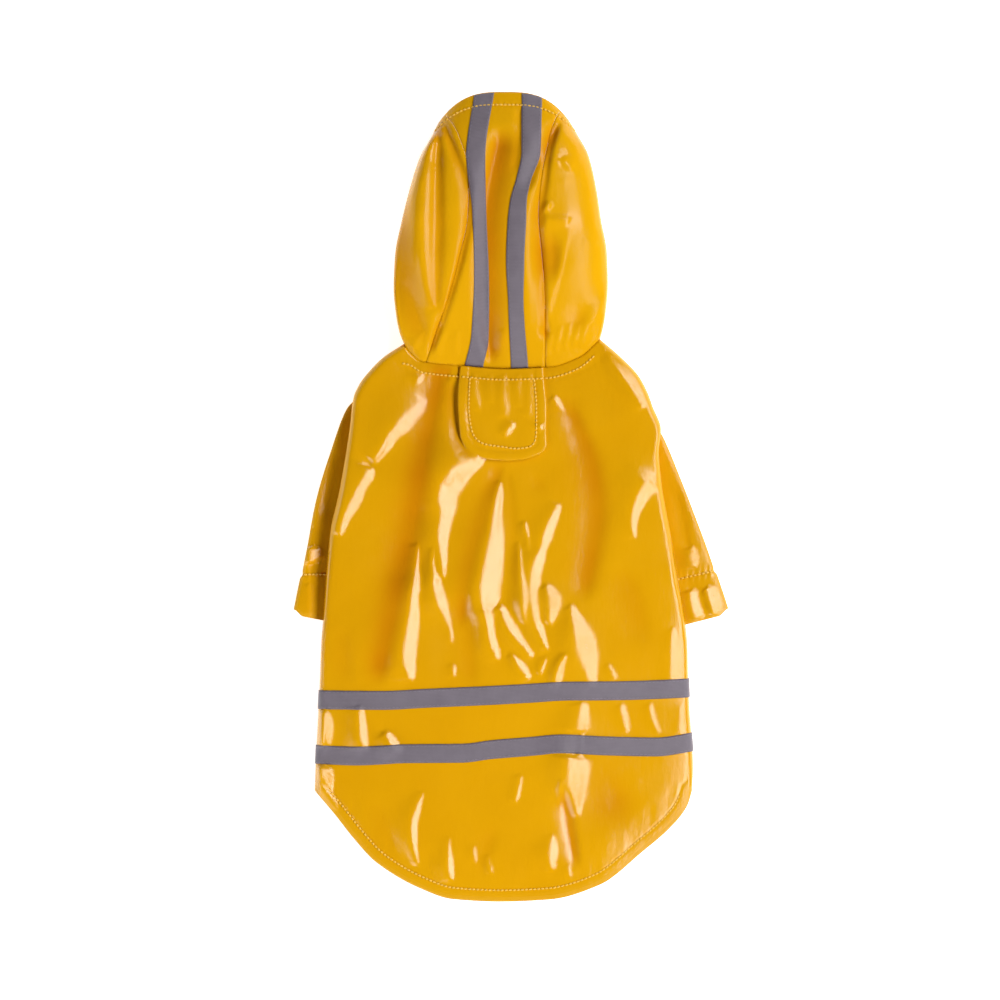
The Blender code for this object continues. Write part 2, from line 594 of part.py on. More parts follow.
def make_hood_tape(name, line):
    """Reflective tape sewn along the centre strip of the hood."""
    def tape_point(edge, along):
        middle = track(line, "middle", along, by="along")
        x = middle + edge * track(line, "half", along, by="along")
        return moved_out(hood_point, hood_across(x, along), along, OVERLAY_GAP + TAPE_WALL)

    rows = np.linspace(0.004, 0.996, HOOD_ROWS + 1)
    sheet(name, np.linspace(-1, 1, TAPE_CELLS + 1), rows, tape_point, GREY, TAPE_WALL, 0.6)


for old in list(bpy.data.objects):
    bpy.data.objects.remove(old)

coat = bpy.data.collections.new("dog_raincoat")
bpy.context.scene.collection.children.link(coat)

make_back()
make_belly()
make_sleeve("sleeve_left", SLEEVE_LEFT)
make_sleeve("sleeve_right", SLEEVE_RIGHT)
make_hood()
make_flap()
make_back_tape("tape_back_upper", TAPE_UPPER)
make_back_tape("tape_back_lower", TAPE_LOWER)
make_hood_tape("tape_hood_left", TAPE_HOOD_LEFT)
make_hood_tape("tape_hood_right", TAPE_HOOD_RIGHT)
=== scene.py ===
from collections import namedtuple

import bmesh
import bpy
import numpy as np
from mathutils import Matrix, Vector


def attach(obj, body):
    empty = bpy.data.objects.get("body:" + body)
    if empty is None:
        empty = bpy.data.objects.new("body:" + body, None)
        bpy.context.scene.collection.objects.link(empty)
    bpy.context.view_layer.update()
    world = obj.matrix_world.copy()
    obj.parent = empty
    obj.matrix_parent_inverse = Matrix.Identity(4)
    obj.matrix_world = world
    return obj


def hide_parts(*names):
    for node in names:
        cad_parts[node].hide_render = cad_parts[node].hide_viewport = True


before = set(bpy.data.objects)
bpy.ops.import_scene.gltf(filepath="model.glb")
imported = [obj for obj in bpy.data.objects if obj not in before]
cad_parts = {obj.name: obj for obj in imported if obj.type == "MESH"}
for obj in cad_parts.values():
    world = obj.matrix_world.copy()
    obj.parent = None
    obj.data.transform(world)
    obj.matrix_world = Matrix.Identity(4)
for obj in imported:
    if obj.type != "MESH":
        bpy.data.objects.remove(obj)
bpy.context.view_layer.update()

# ---- Back panel ------------------------------------------------------------------------
# The back of the coat and both its sides, cut in one piece from woven polyester with a
# glossy polyurethane face. It wraps under at the sides to the seams of the belly panel,
# and the round hem of its tail is turned in twice and topstitched.

# Sizes are in millimetres up to the last step, where MM makes them metres.
MM = 0.001
CLOTH = 0.5             # thickness of the coated cloth
BACK_LENGTH = 290.0     # along the cloth, from the neck seam to the tail hem
HEM_DEPTH = 6.5         # from the edge of the tail hem to its topstitching
NECK_STITCH = 6.2       # from the neck seam to the topstitching below it
SEAM_HALF = 0.02        # half the gap left where two pieces meet at a seam
SEAM_DIP, SEAM_DIP_WIDTH = 0.3, 1.8     # how the cloth dips at the neck seam
LOWEST_TOP = 0.65       # the least height of the top, where the hem comes down to the floor

Point = namedtuple("Point", "x y")
NECK_SEAM = [
    Point(-60.6, 86.5), Point(-56, 80.5), Point(-50, 76.3), Point(-28, 74.0),
    Point(-4.5, 72.2), Point(21, 73.2), Point(38, 78.6), Point(50.4, 89.0),
]
TAIL_HEM = [
    Point(-110.9, -165.8), Point(-99.6, -179.4), Point(-88.9, -193.0), Point(-76.4, -206.4),
    Point(-52.0, -221.0), Point(-32.8, -227.4), Point(-6.0, -228.8), Point(22.0, -227.6),
    Point(50.0, -219.4), Point(74.7, -200.2), Point(90.6, -186.2), Point(99.6, -174.5),
    Point(102.4, -165.8),
]
# One side of the panel, from the neck to the end of the side seam. edge: the side fold.
# fold: its height. under: height just inside it, where the cloth rides over the sleeve.
# seam_x, seam_z: the seam with the belly panel.
Side = namedtuple("Side", "y edge fold under seam_x seam_z")
BACK_LEFT = [
    Side(86.5, -60.6, 6.0, 0.0, -48.0, 0.0), Side(78.7, -72.4, 6.4, 0.0, -56.0, 0.0),
    Side(72.0, -79.2, 6.8, 0.0, -66.0, 0.0), Side(64.0, -85.4, 8.6, 5.2, -76.5, 5.0),
    Side(56.0, -88.9, 9.4, 6.4, -79.0, 6.4), Side(37.9, -91.1, 10.0, 6.9, -75.5, 6.9),
    Side(9.6, -95.7, 10.6, 7.6, -71.0, 7.6), Side(-4.0, -98.5, 11.0, 8.0, -64.0, 6.4),
    Side(-16.0, -101.3, 11.4, 8.4, -50.0, 0.5), Side(-26.0, -102.6, 11.6, 8.6, -47.0, 0.0),
    Side(-40.0, -103.9, 11.9, 8.9, -47.0, 0.0), Side(-67.4, -105.8, 12.2, 9.3, -49.0, 0.0),
    Side(-80.9, -107.0, 11.4, 8.6, -53.0, 0.0), Side(-98.0, -107.8, 7.8, 3.8, -64.0, 0.0),
    Side(-116.0, -108.7, 5.0, 0.8, -77.0, 0.0), Side(-150.0, -110.4, 4.0, 0.0, -98.0, 0.0),
    Side(-165.8, -110.9, 3.6, 0.0, -102.0, 0.0),
]
BACK_RIGHT = [
    Side(89.0, 50.4, 6.0, 0.0, 38.0, 0.0), Side(78.7, 62.3, 6.4, 0.0, 46.0, 0.0),
    Side(68.0, 72.3, 6.8, 0.0, 57.0, 0.0), Side(58.0, 77.5, 8.8, 5.6, 68.5, 5.4),
    Side(51.5, 79.8, 9.4, 6.4, 71.5, 6.4), Side(37.9, 84.6, 10.0, 6.9, 69.5, 6.9),
    Side(26.0, 83.4, 10.3, 7.3, 68.0, 7.3), Side(5.7, 85.2, 10.8, 7.8, 65.0, 7.8),
    Side(-6.0, 87.2, 11.0, 8.0, 58.5, 6.4), Side(-18.0, 89.5, 11.4, 8.4, 45.0, 0.5),
    Side(-28.0, 91.1, 11.6, 8.6, 42.0, 0.0), Side(-42.0, 93.4, 11.9, 8.9, 42.0, 0.0),
    Side(-72.4, 98.5, 12.2, 9.3, 45.0, 0.0), Side(-84.0, 99.6, 11.4, 8.6, 48.0, 0.0),
    Side(-100.0, 100.2, 7.8, 3.8, 59.0, 0.0), Side(-118.0, 101.0, 5.0, 0.8, 71.0, 0.0),
    Side(-152.3, 103.0, 4.0, 0.0, 90.0, 0.0), Side(-165.8, 102.4, 3.6, 0.0, 93.5, 0.0),
]
SIDE_TURN = 3.4                     # reach of the round turn at the side fold
FALL_START, FALL_END = 0.62, 0.88   # where the wrapped edge comes down off the sleeve
Crown = namedtuple("Crown", "along height")
BACK_CROWN = [
    Crown(0.0, 13.5), Crown(0.07, 16.5), Crown(0.2, 19.0), Crown(0.42, 20.0),
    Crown(0.56, 18.6), Crown(0.68, 15.2), Crown(0.82, 11.2), Crown(0.92, 7.6),
    Crown(0.98, 5.6), Crown(1.0, 4.8),
]
BACK_ARCH = 90.0, 110.0, 0.50    # how square the flattened body is left and right, and its turn
HEM_SETTLE = 2.4                 # how far the middle of the tail hem sinks

# A crease has one steep side. points: x, y, width of the steep side and its rise for its
# width. tail: how much wider the gentle side is. faces: the way the steep side faces.
# A trough is a round hollow. points: x, y and half width.
Crease = namedtuple("Crease", "points tail faces", defaults=[(1, 0)])
Trough = namedtuple("Trough", "points depth")
FOLD_STEP = 3.5                  # spacing of the stations along a crease or trough
BACK_CREASES = [
    Crease([(-49.2, 69.6, 2.3, 0.25), (-50.9, 66.2, 2.8, 0.25),
        (-53.8, 62.8, 2.3, 0.25)], 2.0, (1, 0.5)),
    Crease([(-47.5, 54.9, 2.3, 0.15), (-51.5, 49.2, 5.7, 0.19), (-56.6, 44.7, 7.4, 0.24),
        (-61.1, 39.1, 7.9, 0.36), (-66.8, 33.4, 6.2, 0.48), (-69.6, 28.3, 5.7, 0.53),
        (-74.1, 22.6, 4, 0.59), (-77.5, 18.1, 2.3, 0.57)], 2.4, (1, 0.6)),
    Crease([(-77, 16.4, 2.8, 0.36), (-79.8, 10.8, 6.2, 0.4), (-83.8, 5.1, 5.1, 0.44),
        (-86, -0.6, 6.2, 0.42), (-89.1, -6.2, 6.2, 0.44), (-92.3, -11.9, 4.5, 0.43),
        (-94.5, -18.1, 3.4, 0.4), (-96.2, -22.6, 2.3, 0.4)], 2.4, (1, 0.5)),
    Crease([(-14.1, 22.6, 2.8, 0.33), (-19.8, 18.7, 7.9, 0.41), (-26.6, 14.1, 11.3, 0.49),
        (-31.1, 9.1, 13.6, 0.47), (-34.5, 4, 13.6, 0.37), (-35.7, -1.7, 13, 0.34),
        (-35.1, -6.2, 11.3, 0.35), (-36.2, -11.9, 8.5, 0.36), (-37.4, -17.5, 7.9, 0.36),
        (-37.9, -23.2, 7.4, 0.39), (-37.9, -28.9, 5.7, 0.43), (-37.4, -35.7, 4.5, 0.45),
        (-37.4, -41.3, 3.4, 0.48), (-36.8, -46.4, 2.3, 0.48)], 1.9, (1, 0.4)),
    Crease([(-52.1, -25.5, 1.7, 0.76), (-52.1, -33.4, 2.3, 0.74), (-52.6, -40.2, 3.4, 0.7),
        (-52.6, -45.8, 5.1, 0.72), (-53.2, -51.5, 6.2, 0.75), (-54.1, -57.2, 6.8, 0.69),
        (-54.3, -62.8, 7.4, 0.55), (-54.9, -68.5, 7.9, 0.46), (-55.8, -74.1, 9.1, 0.41),
        (-56.6, -80.9, 9.6, 0.41), (-57.2, -86.6, 9.6, 0.4), (-57.2, -92.3, 8.5, 0.4),
        (-56, -97.9, 5.7, 0.41), (-55.5, -104.1, 3.4, 0.4)], 2.8),
    Crease([(-43.6, -27.7, 1.1, 0.58), (-43.6, -36.8, 2.3, 0.65), (-42.4, -43.6, 4, 0.64),
        (-40.8, -50.4, 6.8, 0.48), (-39.1, -57.2, 7.4, 0.42), (-37.4, -62.8, 5.1, 0.35),
        (-35.7, -68.5, 3.4, 0.32), (-34, -74.7, 2.8, 0.28),
        (-32.3, -83.2, 1.7, 0.22)], 1.7, (1, -0.3)),
    Crease([(-5.7, 9.6, 1.7, 0.49), (-6.8, 0.6, 4.5, 0.47), (-7.9, -6.2, 5.7, 0.45),
        (-8.5, -13, 6.8, 0.4), (-8.5, -19.8, 8.5, 0.35), (-9.1, -26.6, 10.8, 0.36),
        (-9.3, -33.4, 12.5, 0.37), (-10.2, -40.2, 13.6, 0.37), (-10.8, -47, 15.3, 0.37),
        (-11, -53.8, 15.3, 0.35), (-11.3, -60.6, 11.3, 0.36), (-11.3, -67.4, 7.4, 0.62),
        (-10.8, -74.1, 5.7, 0.61), (-9.6, -80.9, 5.7, 0.48), (-7.9, -86.6, 4.5, 0.39),
        (-6.2, -92.3, 2.3, 0.36)], 1.6),
    Crease([(-5.7, -59.4, 2.8, 0.46), (-2.8, -65.1, 5.7, 0.5), (0, -70.8, 6.8, 0.45),
        (3.4, -76.4, 6.2, 0.43), (7.4, -82.1, 4.5, 0.48), (10.8, -86.6, 4, 0.47),
        (13, -90.6, 2.3, 0.35)], 1.2, (1, -0.5)),
    Crease([(-0.6, -86.6, 1.7, 0.61), (3.4, -91.1, 3.4, 0.56), (7.9, -96.8, 4.5, 0.37),
        (11.3, -102.4, 3.4, 0.34)], 1.2, (1, 0.8)),
    Crease([(20.4, -89.4, 1.7, 0.44), (18.7, -95.1, 2.8, 0.46),
        (16.4, -101.3, 2.8, 0.45)], 1.2, (1, 0.2)),
    Crease([(7.9, -12.5, 1.7, 0.44), (9.1, -17.5, 2.8, 0.49), (10.2, -24.3, 1.7, 0.55),
        (10.2, -30.6, 1.1, 0.49)], 1.3),
    Crease([(4.5, -24.3, 1.1, 0.55), (5.7, -33.4, 2.3, 0.61), (6.2, -42.4, 2.8, 0.58),
        (7.4, -51.5, 4, 0.52), (7.9, -58.3, 4, 0.55), (7.9, -65.1, 2.8, 0.62),
        (8.5, -71.9, 1.1, 0.62)], 1.7),
    Crease([(28.3, -3.4, 1.7, 0.31), (25.5, -9.6, 4.5, 0.32), (22.6, -16.4, 5.7, 0.33),
        (20.4, -23.2, 6.2, 0.35), (18.1, -30, 4.5, 0.35), (15.8, -36.8, 6.8, 0.37),
        (14.1, -43.6, 6.8, 0.37), (13.6, -50.4, 6.2, 0.42), (13.9, -57.2, 6.2, 0.54),
        (14.4, -62.8, 5.7, 0.59), (15.3, -68.5, 5.1, 0.5), (16.7, -74.1, 4.5, 0.4),
        (19, -79.8, 4, 0.44), (21.5, -86.6, 2.3, 0.47)], 1.5, (1, 0.1)),
    Crease([(19.8, -47.5, 2.3, 0.42), (22.6, -52.6, 5.7, 0.4), (24.6, -57.2, 7.9, 0.34),
        (24.9, -62.8, 7.4, 0.37), (23.5, -67.9, 5.1, 0.45), (22.1, -73, 2.3, 0.46)], 0.9),
    Crease([(34, -59.4, 2.3, 0.35), (36.2, -65.7, 5.7, 0.35), (39.1, -73, 9.6, 0.35),
        (41.9, -80.9, 12.5, 0.33), (43, -87.7, 13, 0.33), (44.7, -94.5, 9.6, 0.29),
        (45.8, -101.3, 6.2, 0.29), (47, -108.1, 3.4, 0.29)], 1.2, (1, 0.1)),
    Crease([(31.7, -87.7, 1.7, 0.57), (28.9, -94.5, 4, 0.51), (27.2, -101.3, 5.1, 0.44),
        (24.9, -108.1, 2.8, 0.45)], 0.9),
    Crease([(83.2, 11.9, 2.8, 0.09), (81.5, 9.6, 6.2, 0.13), (78.7, 5.7, 8.5, 0.37),
        (74.1, 0, 7.4, 0.43), (71.3, -6.2, 5.7, 0.39), (69.6, -11.9, 4.5, 0.34),
        (69.3, -17.5, 3.4, 0.32), (70.2, -23.8, 1.7, 0.3)], 1.9, (1, 0.6)),
    Crease([(24.3, 58.3, 1.7, 0.45), (26, 54.9, 3.4, 0.35), (28.3, 50.9, 2.3, 0.27),
        (29.4, 48.1, 1.1, 0.25)], 1.3, (1, -0.3)),
    Crease([(-34.5, -70.8, 1.1, 0.08), (-32.8, -76.4, 2.3, 0.12), (-33.4, -83.2, 1.7, 0.09)], 1.3),
    Crease([(-32.8, -92.3, 1.7, 0.32), (-31.7, -96.8, 2.8, 0.3), (-31.7, -102.4, 1.7, 0.3)], 1.3),
    Crease([(54.3, -92.3, 1.1, 0.31), (56.6, -96.8, 2.3, 0.3), (60, -103, 1.7, 0.26)], 1.5),
    Crease([(89.4, -25.5, 1.1, 0.08), (91.4, -33.4, 2.3, 0.08), (92.8, -40.2, 4, 0.08),
        (93.4, -45.8, 4, 0.08), (94.5, -51.5, 2.8, 0.08), (96.2, -59.4, 2.3, 0.08),
        (97.9, -68.5, 2.3, 0.08), (99, -75.3, 1.7, 0.08)], 1.0, (1, 0.3)),
    Crease([(91.7, -73, 2.3, 0.19), (92.3, -80.9, 4.5, 0.19), (92.8, -87.7, 5.7, 0.19),
        (92.8, -95.7, 5.7, 0.2), (92.8, -102.4, 5.7, 0.19),
        (92.8, -110.4, 4, 0.18)], 1.2, (1, 0.3)),
    Crease([(50.4, 85.5, 1.7, 0.17), (56, 79.8, 3.4, 0.51), (63.4, 70.8, 4.5, 0.47),
        (70.2, 60.6, 4.5, 0.41), (75.8, 49.8, 2.3, 0.33)], 1.3, (1, 0.8)),
    Crease([(-104.1, -119.4, 3.4, 0.59), (-103.6, -124, 6.2, 0.59), (-103, -129.6, 7.4, 0.53),
        (-103.6, -136.4, 7.4, 0.53), (-104.1, -142.1, 3.4, 0.53)], 1.2, (1, 0.1)),
    Crease([(-84.3, -117.2, 3.4, 0.44), (-83.8, -122.8, 4.5, 0.44), (-83.2, -129.6, 5.1, 0.45),
        (-82.6, -135.8, 5.7, 0.47), (-80.9, -142.1, 3.4, 0.47)], 1.6),
    Crease([(-70.2, -130.7, 2.3, 0.49), (-67.9, -135.3, 5.1, 0.49), (-64.5, -139.8, 5.7, 0.42),
        (-61.7, -144.3, 2.8, 0.33)], 1.4, (1, 0.4)),
    Crease([(41.3, -114.9, 4, 0.3), (41.3, -121.7, 6.8, 0.28), (40.8, -127.3, 8.5, 0.25),
        (40.8, -133, 8.5, 0.23)], 1.4, (1, 0.1)),
    Crease([(62.3, -115.5, 2.3, 0.24), (64, -121.7, 3.4, 0.24), (65.1, -127.3, 2.8, 0.24),
        (66.2, -133.6, 1.7, 0.24)], 1.4),
    Crease([(78.7, -115.5, 2.3, 0.24), (79.8, -122.3, 2.8, 0.26), (82.1, -128.5, 2.3, 0.28),
        (84.9, -133.6, 1.1, 0.26)], 1.4),
    Crease([(96.8, -116, 2.3, 0.11), (96.8, -124, 2.8, 0.13),
        (96.2, -134.1, 2.3, 0.14)], 1.4, (1, 0.4)),
    Crease([(-104.7, -151.1, 6.8, 0.59), (-104.7, -156.2, 10.2, 0.67), (-104.7, -160.7, 10.8, 0.75),
        (-102.4, -165.8, 6.2, 0.76), (-100.2, -170.9, 3.4, 0.76),
        (-97.4, -176.6, 1.7, 0.76)], 1.2, (1, 0.2)),
    Crease([(-48.7, -165.8, 1.1, 0.38), (-50.9, -171.5, 2.8, 0.4), (-52.6, -177.2, 4, 0.41),
        (-54.1, -182.8, 4.5, 0.41), (-54.6, -189, 4.5, 0.41), (-54.1, -195.3, 4, 0.44),
        (-53.2, -201.5, 2.8, 0.53), (-52.1, -208.9, 1.7, 0.56)], 1.8, (1, 0.2)),
    Crease([(-34.5, -190.7, 1.1, 0.36), (-34.5, -196.4, 2.3, 0.39), (-34.2, -202.1, 3.4, 0.39),
        (-34, -207.7, 4.5, 0.36), (-33.4, -212.8, 4, 0.41), (-32.3, -217.9, 2.3, 0.46)], 1.8),
    Crease([(-12.5, -200.9, 1.1, 0.52), (-11.9, -206.6, 2.3, 0.48),
        (-10.2, -213.4, 1.7, 0.36)], 1.7),
    Crease([(-20.9, -195.3, 1.1, 0.26), (-20.4, -200.9, 2.3, 0.27),
        (-19.8, -207.7, 1.7, 0.28)], 1.7),
    Crease([(6.2, -155.6, 1.7, 0.38), (5.7, -161.3, 2.8, 0.38), (4.5, -167, 2.8, 0.37),
        (2.3, -173.8, 1.7, 0.37)], 1.7, (1, 0.2)),
    Crease([(23.8, -189.6, 1.7, 0.26), (23.8, -195.3, 4, 0.26), (23.8, -200.9, 5.7, 0.26),
        (24.1, -206, 4.5, 0.26), (24.9, -212.2, 2.3, 0.28)], 1.6),
    Crease([(32.3, -206.6, 1.1, 0.23), (33.4, -211.7, 2.3, 0.29), (34.5, -216.8, 1.1, 0.32)], 1.5),
    Crease([(39.1, -146, 12.5, 0.28), (37.9, -153.4, 13.6, 0.32), (37.4, -160.2, 11.9, 0.31),
        (37.4, -167, 9.6, 0.32), (37.6, -173.2, 5.7, 0.36),
        (38.5, -181.1, 1.7, 0.37)], 1.0, (1, 0.2)),
    Crease([(30, -157.9, 1.1, 0.49), (28.3, -164.7, 1.7, 0.45), (28.9, -174.9, 1.7, 0.19),
        (29.7, -185.1, 1.7, 0.09), (31.7, -195.3, 1.7, 0.08), (34.5, -206.6, 1.1, 0.08)], 1.0),
]
BACK_TROUGHS = [
    Trough([(-38.5, 82.1, 4.5), (-41.3, 64, 7.4), (-47.5, 32.3, 9.1), (-54.3, -8.5, 10.2),
        (-60, -35.7, 10.2), (-66.2, -64, 9.6), (-72.4, -92.3, 7.9), (-76.4, -109.2, 5.1)], -2.0),
    Trough([(-4, 22.1, 3.4), (-7.9, 12.5, 4.5), (-16.4, -13, 6.8), (-23.2, -35.7, 6.8),
        (-27.2, -58.3, 5.7), (-28.9, -76.4, 4)], -1.3),
    Trough([(-2.8, 17.5, 2.3), (-1.1, 9.6, 2.8), (0.6, -7.4, 4), (1.7, -35.7, 4),
        (3.4, -56, 2.8)], -0.55),
    Trough([(31.1, 54.9, 5.1), (39.1, 36.8, 7.4), (46.4, 15.3, 9.1), (48.7, -8.5, 9.6),
        (44.1, -40.2, 8.5), (39.1, -61.7, 5.7)], -1.8),
    Trough([(-25.5, -52.6, 3.4), (-23.2, -75.3, 5.7), (-22.6, -94.5, 5.7),
        (-22.1, -109.2, 3.4)], -0.8),
    Trough([(29.4, -162.4, 2.3), (32.3, -178.3, 4.5), (35.1, -197, 4.5),
        (37.9, -211.1, 2.3)], -1.7),
    Trough([(58.3, -35.7, 6.8), (69.6, -58.3, 10.2), (75.3, -86.6, 7.9)], -0.9),
    Trough([(-94, -69.6, 5.7), (-94, -95.1, 6.8), (-91.1, -109.2, 4.5)], -0.6),
    Trough([(-7.4, -182.8, 4.5), (-13, -197, 5.7), (-18.7, -216.8, 4.5)], -0.7),
    Trough([(48.1, -147.7, 9.1), (56, -164.7, 15.3), (60, -181.7, 15.8),
        (57.2, -197.5, 9.1)], -1.5),
    Trough([(-79.8, -165.8, 6.8), (-71.3, -188.5, 7.9), (-62.8, -206.6, 4.5)], -0.6),
    Trough([(-32.3, 68.5, 2.3), (-32.3, 52.6, 3.4), (-31.1, 37.9, 3.4), (-27.2, 27.2, 3.4),
        (-18.7, 20.9, 2.3)], -1.1),
    Trough([(-31.7, 77.5, 1.1), (-34.5, 71.9, 2.3), (-36.8, 64, 1.7)], -1.2),
    Trough([(18.1, 56, 5.7), (28.9, 52.6, 6.8), (43.6, 54.9, 5.7)], -0.8),
    Trough([(9.6, 15.3, 3.4), (16.4, 7.4, 4.5), (20.9, -0.6, 3.4)], -0.6),
    Trough([(-87.7, 54.9, 3.4), (-92.3, 32.3, 4.5), (-94.5, 15.3, 3.4)], -0.6),
]


def through(at, xs, ys):
    """Smooth line through the points (xs, ys) without overshoot, level past both ends."""
    xs, ys = np.asarray(xs, float), np.asarray(ys, float)
    if xs[0] > xs[-1]:
        xs, ys = xs[::-1], ys[::-1]
    step = np.diff(xs)
    slope = np.diff(ys) / step
    tangent = np.concatenate(([slope[0]], np.zeros(len(slope) - 1), [slope[-1]]))
    product = slope[:-1] * slope[1:]
    total = np.where(product > 0, slope[:-1] + slope[1:], 1.0)
    tangent[1:-1] = np.where(product > 0, 2 * product / total, 0.0)
    at = np.clip(at, xs[0], xs[-1])
    cell = np.clip(np.searchsorted(xs, at) - 1, 0, len(step) - 1)
    t = (at - xs[cell]) / step[cell]
    return (
        ys[cell] * (1 + 2 * t) * (1 - t) ** 2
        + ys[cell + 1] * t * t * (3 - 2 * t)
        + step[cell] * (tangent[cell] * t * (1 - t) ** 2 - tangent[cell + 1] * t * t * (1 - t))
    )


def track(rows, name, at, by="along"):
    return through(at, [getattr(row, by) for row in rows], [getattr(row, name) for row in rows])


def blend(low, high, share):
    return low + (high - low) * share


def ease(share):
    share = np.clip(share, 0.0, 1.0)
    return share * share * (3 - 2 * share)


def bell(distance, width):
    return np.exp(-(distance / width) ** 2)


def soft_step(distance, corner):
    """The distance where it is above nought, turning into nought over a round corner."""
    return corner * np.logaddexp(0, distance / corner)


def smooth_line(points, spacing):
    """Evenly spaced stations along a smooth line through the points of a table."""
    points = np.array(points, float)
    legs = np.linalg.norm(np.diff(points[:, :2], axis=0), axis=1)
    reach = np.concatenate(([0], np.cumsum(legs)))
    at = np.linspace(0, reach[-1], max(3, int(reach[-1] / spacing) + 2))
    return np.array([through(at, reach, points[:, i]) for i in range(points.shape[1])]).T


def legs_beside(x, y, line):
    """For each leg of a line: distance of (x, y), negative on its left, and place along it."""
    legs = []
    for i, (start, end) in enumerate(zip(line[:-1, :2], line[1:, :2])):
        leg = end - start
        off_x, off_y = x - start[0], y - start[1]
        t = np.clip((off_x * leg[0] + off_y * leg[1]) / (leg @ leg), 0, 1)
        gap = np.hypot(off_x - t * leg[0], off_y - t * leg[1])
        legs.append((np.where(off_x * leg[1] < off_y * leg[0], -gap, gap), i + t))
    return np.array(legs).transpose(1, 0, *range(2, 2 + x.ndim))


def beside(x, y, line):
    """Distance of (x, y) from a line, negative on its left."""
    sides, _ = legs_beside(x, y, line)
    return np.take_along_axis(sides, np.abs(sides).argmin(0)[None], 0)[0]


def relief(creases, troughs, x, y):
    """Height that the creases and troughs add to the cloth at (x, y)."""
    height = np.zeros(x.shape)
    for number, fold in enumerate([*creases, *troughs]):
        line = smooth_line(fold.points, FOLD_STEP)
        reach = line[:, 2].max() * (0.5 + 2.6 * getattr(fold, "tail", 1.0))
        low, high = line[:, :2].min(0) - reach, line[:, :2].max(0) + reach
        near = (x > low[0]) & (x < high[0]) & (y > low[1]) & (y < high[1])
        if not near.any():
            continue
        side, place = legs_beside(x[near], y[near], line)
        width = np.interp(place, np.arange(len(line)), line[:, 2])
        leg = np.linalg.norm(line[1, :2] - line[0, :2])
        to_end = np.minimum(place, len(line) - 1 - place) * leg
        swell = (1 + 0.05 * np.sin(0.11 * leg * place + number)
                 + 0.03 * np.sin(0.29 * leg * place + 2 * number))
        if isinstance(fold, Trough):
            # The side left of its run is the steeper one.
            length = ease(to_end / (1.6 * width + 4))
            form = fold.depth * swell * length * bell(side, width * np.where(side < 0, 0.75, 1.3))
        else:
            # An even slope over the width of the steep side, round corners, then the gentle side.
            run = line[-1, :2] - line[0, :2]
            facing = 1 if run[1] * fold.faces[0] - run[0] * fold.faces[1] > 0 else -1
            width = width * np.clip(to_end / 2.5, 0.05, 1) ** 0.7
            past = facing * side / width
            rise = soft_step(0.5 - past, 0.07) - soft_step(-0.5 - past, 0.07)
            steep = np.interp(place, np.arange(len(line)), line[:, 3])
            form = steep * width * swell * rise * bell(np.minimum(past + 0.5, 0), fold.tail)
        # Where a bend has several legs about as near, they count together.
        gap = np.abs(side)
        share = np.exp((gap.min(0) - gap) / (0.02 + 0.15 * gap.min(0)))
        height[near] += (form * share).sum(0) / share.sum(0)
    return height


def ripple(x, y, size, seed):
    """Slow uneven waves of about the given size, between about -1 and 1."""
    turn, shift = np.random.default_rng(seed).uniform(0, 2 * np.pi, (2, 7))
    waves = [np.sin((x * np.cos(a) + y * np.sin(a)) * 2 * np.pi / (size * (0.7 + 0.1 * i)) + b)
             for i, (a, b) in enumerate(zip(turn, shift))]
    return sum(waves) / 3.5


def turned_hem(edge, depth, rise, dip, run=1.4):
    """Relief of a turned hem: thick up to its topstitching, which draws it in, then thin."""
    return rise * ease((depth - edge) / run) - dip * bell(edge - depth, 1.0)


def neck_y(x):
    """Height of the neck seam in the plane."""
    return track(NECK_SEAM, "y", x, by="x")


def throat_shift(x, across, along):
    """Brings the first rows of the underside onto the straight seam under the throat."""
    left, right = NECK_SEAM[0], NECK_SEAM[-1]
    straight = blend(left.y, right.y, (x - left.x) / (right.x - left.x))
    start = np.where(across < 0, left.y, right.y)
    return np.where(np.abs(across) > 1, straight - start, 0) * (1 - along) ** 8


def arch(across, left, right, turn):
    """Rise of a flattened tube across its top, 0 at its side folds and 1 in the middle."""
    return (1 - np.abs(np.clip(across, -1, 1)) ** np.where(across < 0, left, right)) ** turn


def section(across, left, right, crown, rise):
    """Cross-section of a flattened tube: top up to |across| 1, side turn to 2, under to 3."""
    share = (np.clip(across, -1, 1) + 1) / 2
    base = blend(left["fold"], right["fold"], share)
    x, z = blend(left["edge"], right["edge"], share), base + (crown - base) * rise
    for side, sign in ((left, -1), (right, 1)):
        beyond = sign * across - 1
        angle = np.clip(beyond, 0, 1) * np.pi / 2
        inner = side["edge"] - sign * side["turn"]
        run = np.clip(beyond - 1, 0, 1)
        fall = ease((run - FALL_START) / (FALL_END - FALL_START))
        turned = (inner + sign * side["turn"] * np.cos(angle),
                  blend(side["fold"], side["under"], np.sin(angle)))
        wrapped = (blend(inner, side["seam_x"], run),
                   blend(side["under"], side["seam_z"], fall))
        x = np.where(beyond > 1, wrapped[0], np.where(beyond > 0, turned[0], x))
        z = np.where(beyond > 1, wrapped[1], np.where(beyond > 0, turned[1], z))
    return x, z


def back_side(rows, along):
    """One side of the back panel at a place along it."""
    y = blend(rows[0].y, rows[-1].y, along)
    side = {name: track(rows, name, y, by="y") for name in Side._fields[1:]}
    return y, dict(side, turn=SIDE_TURN)


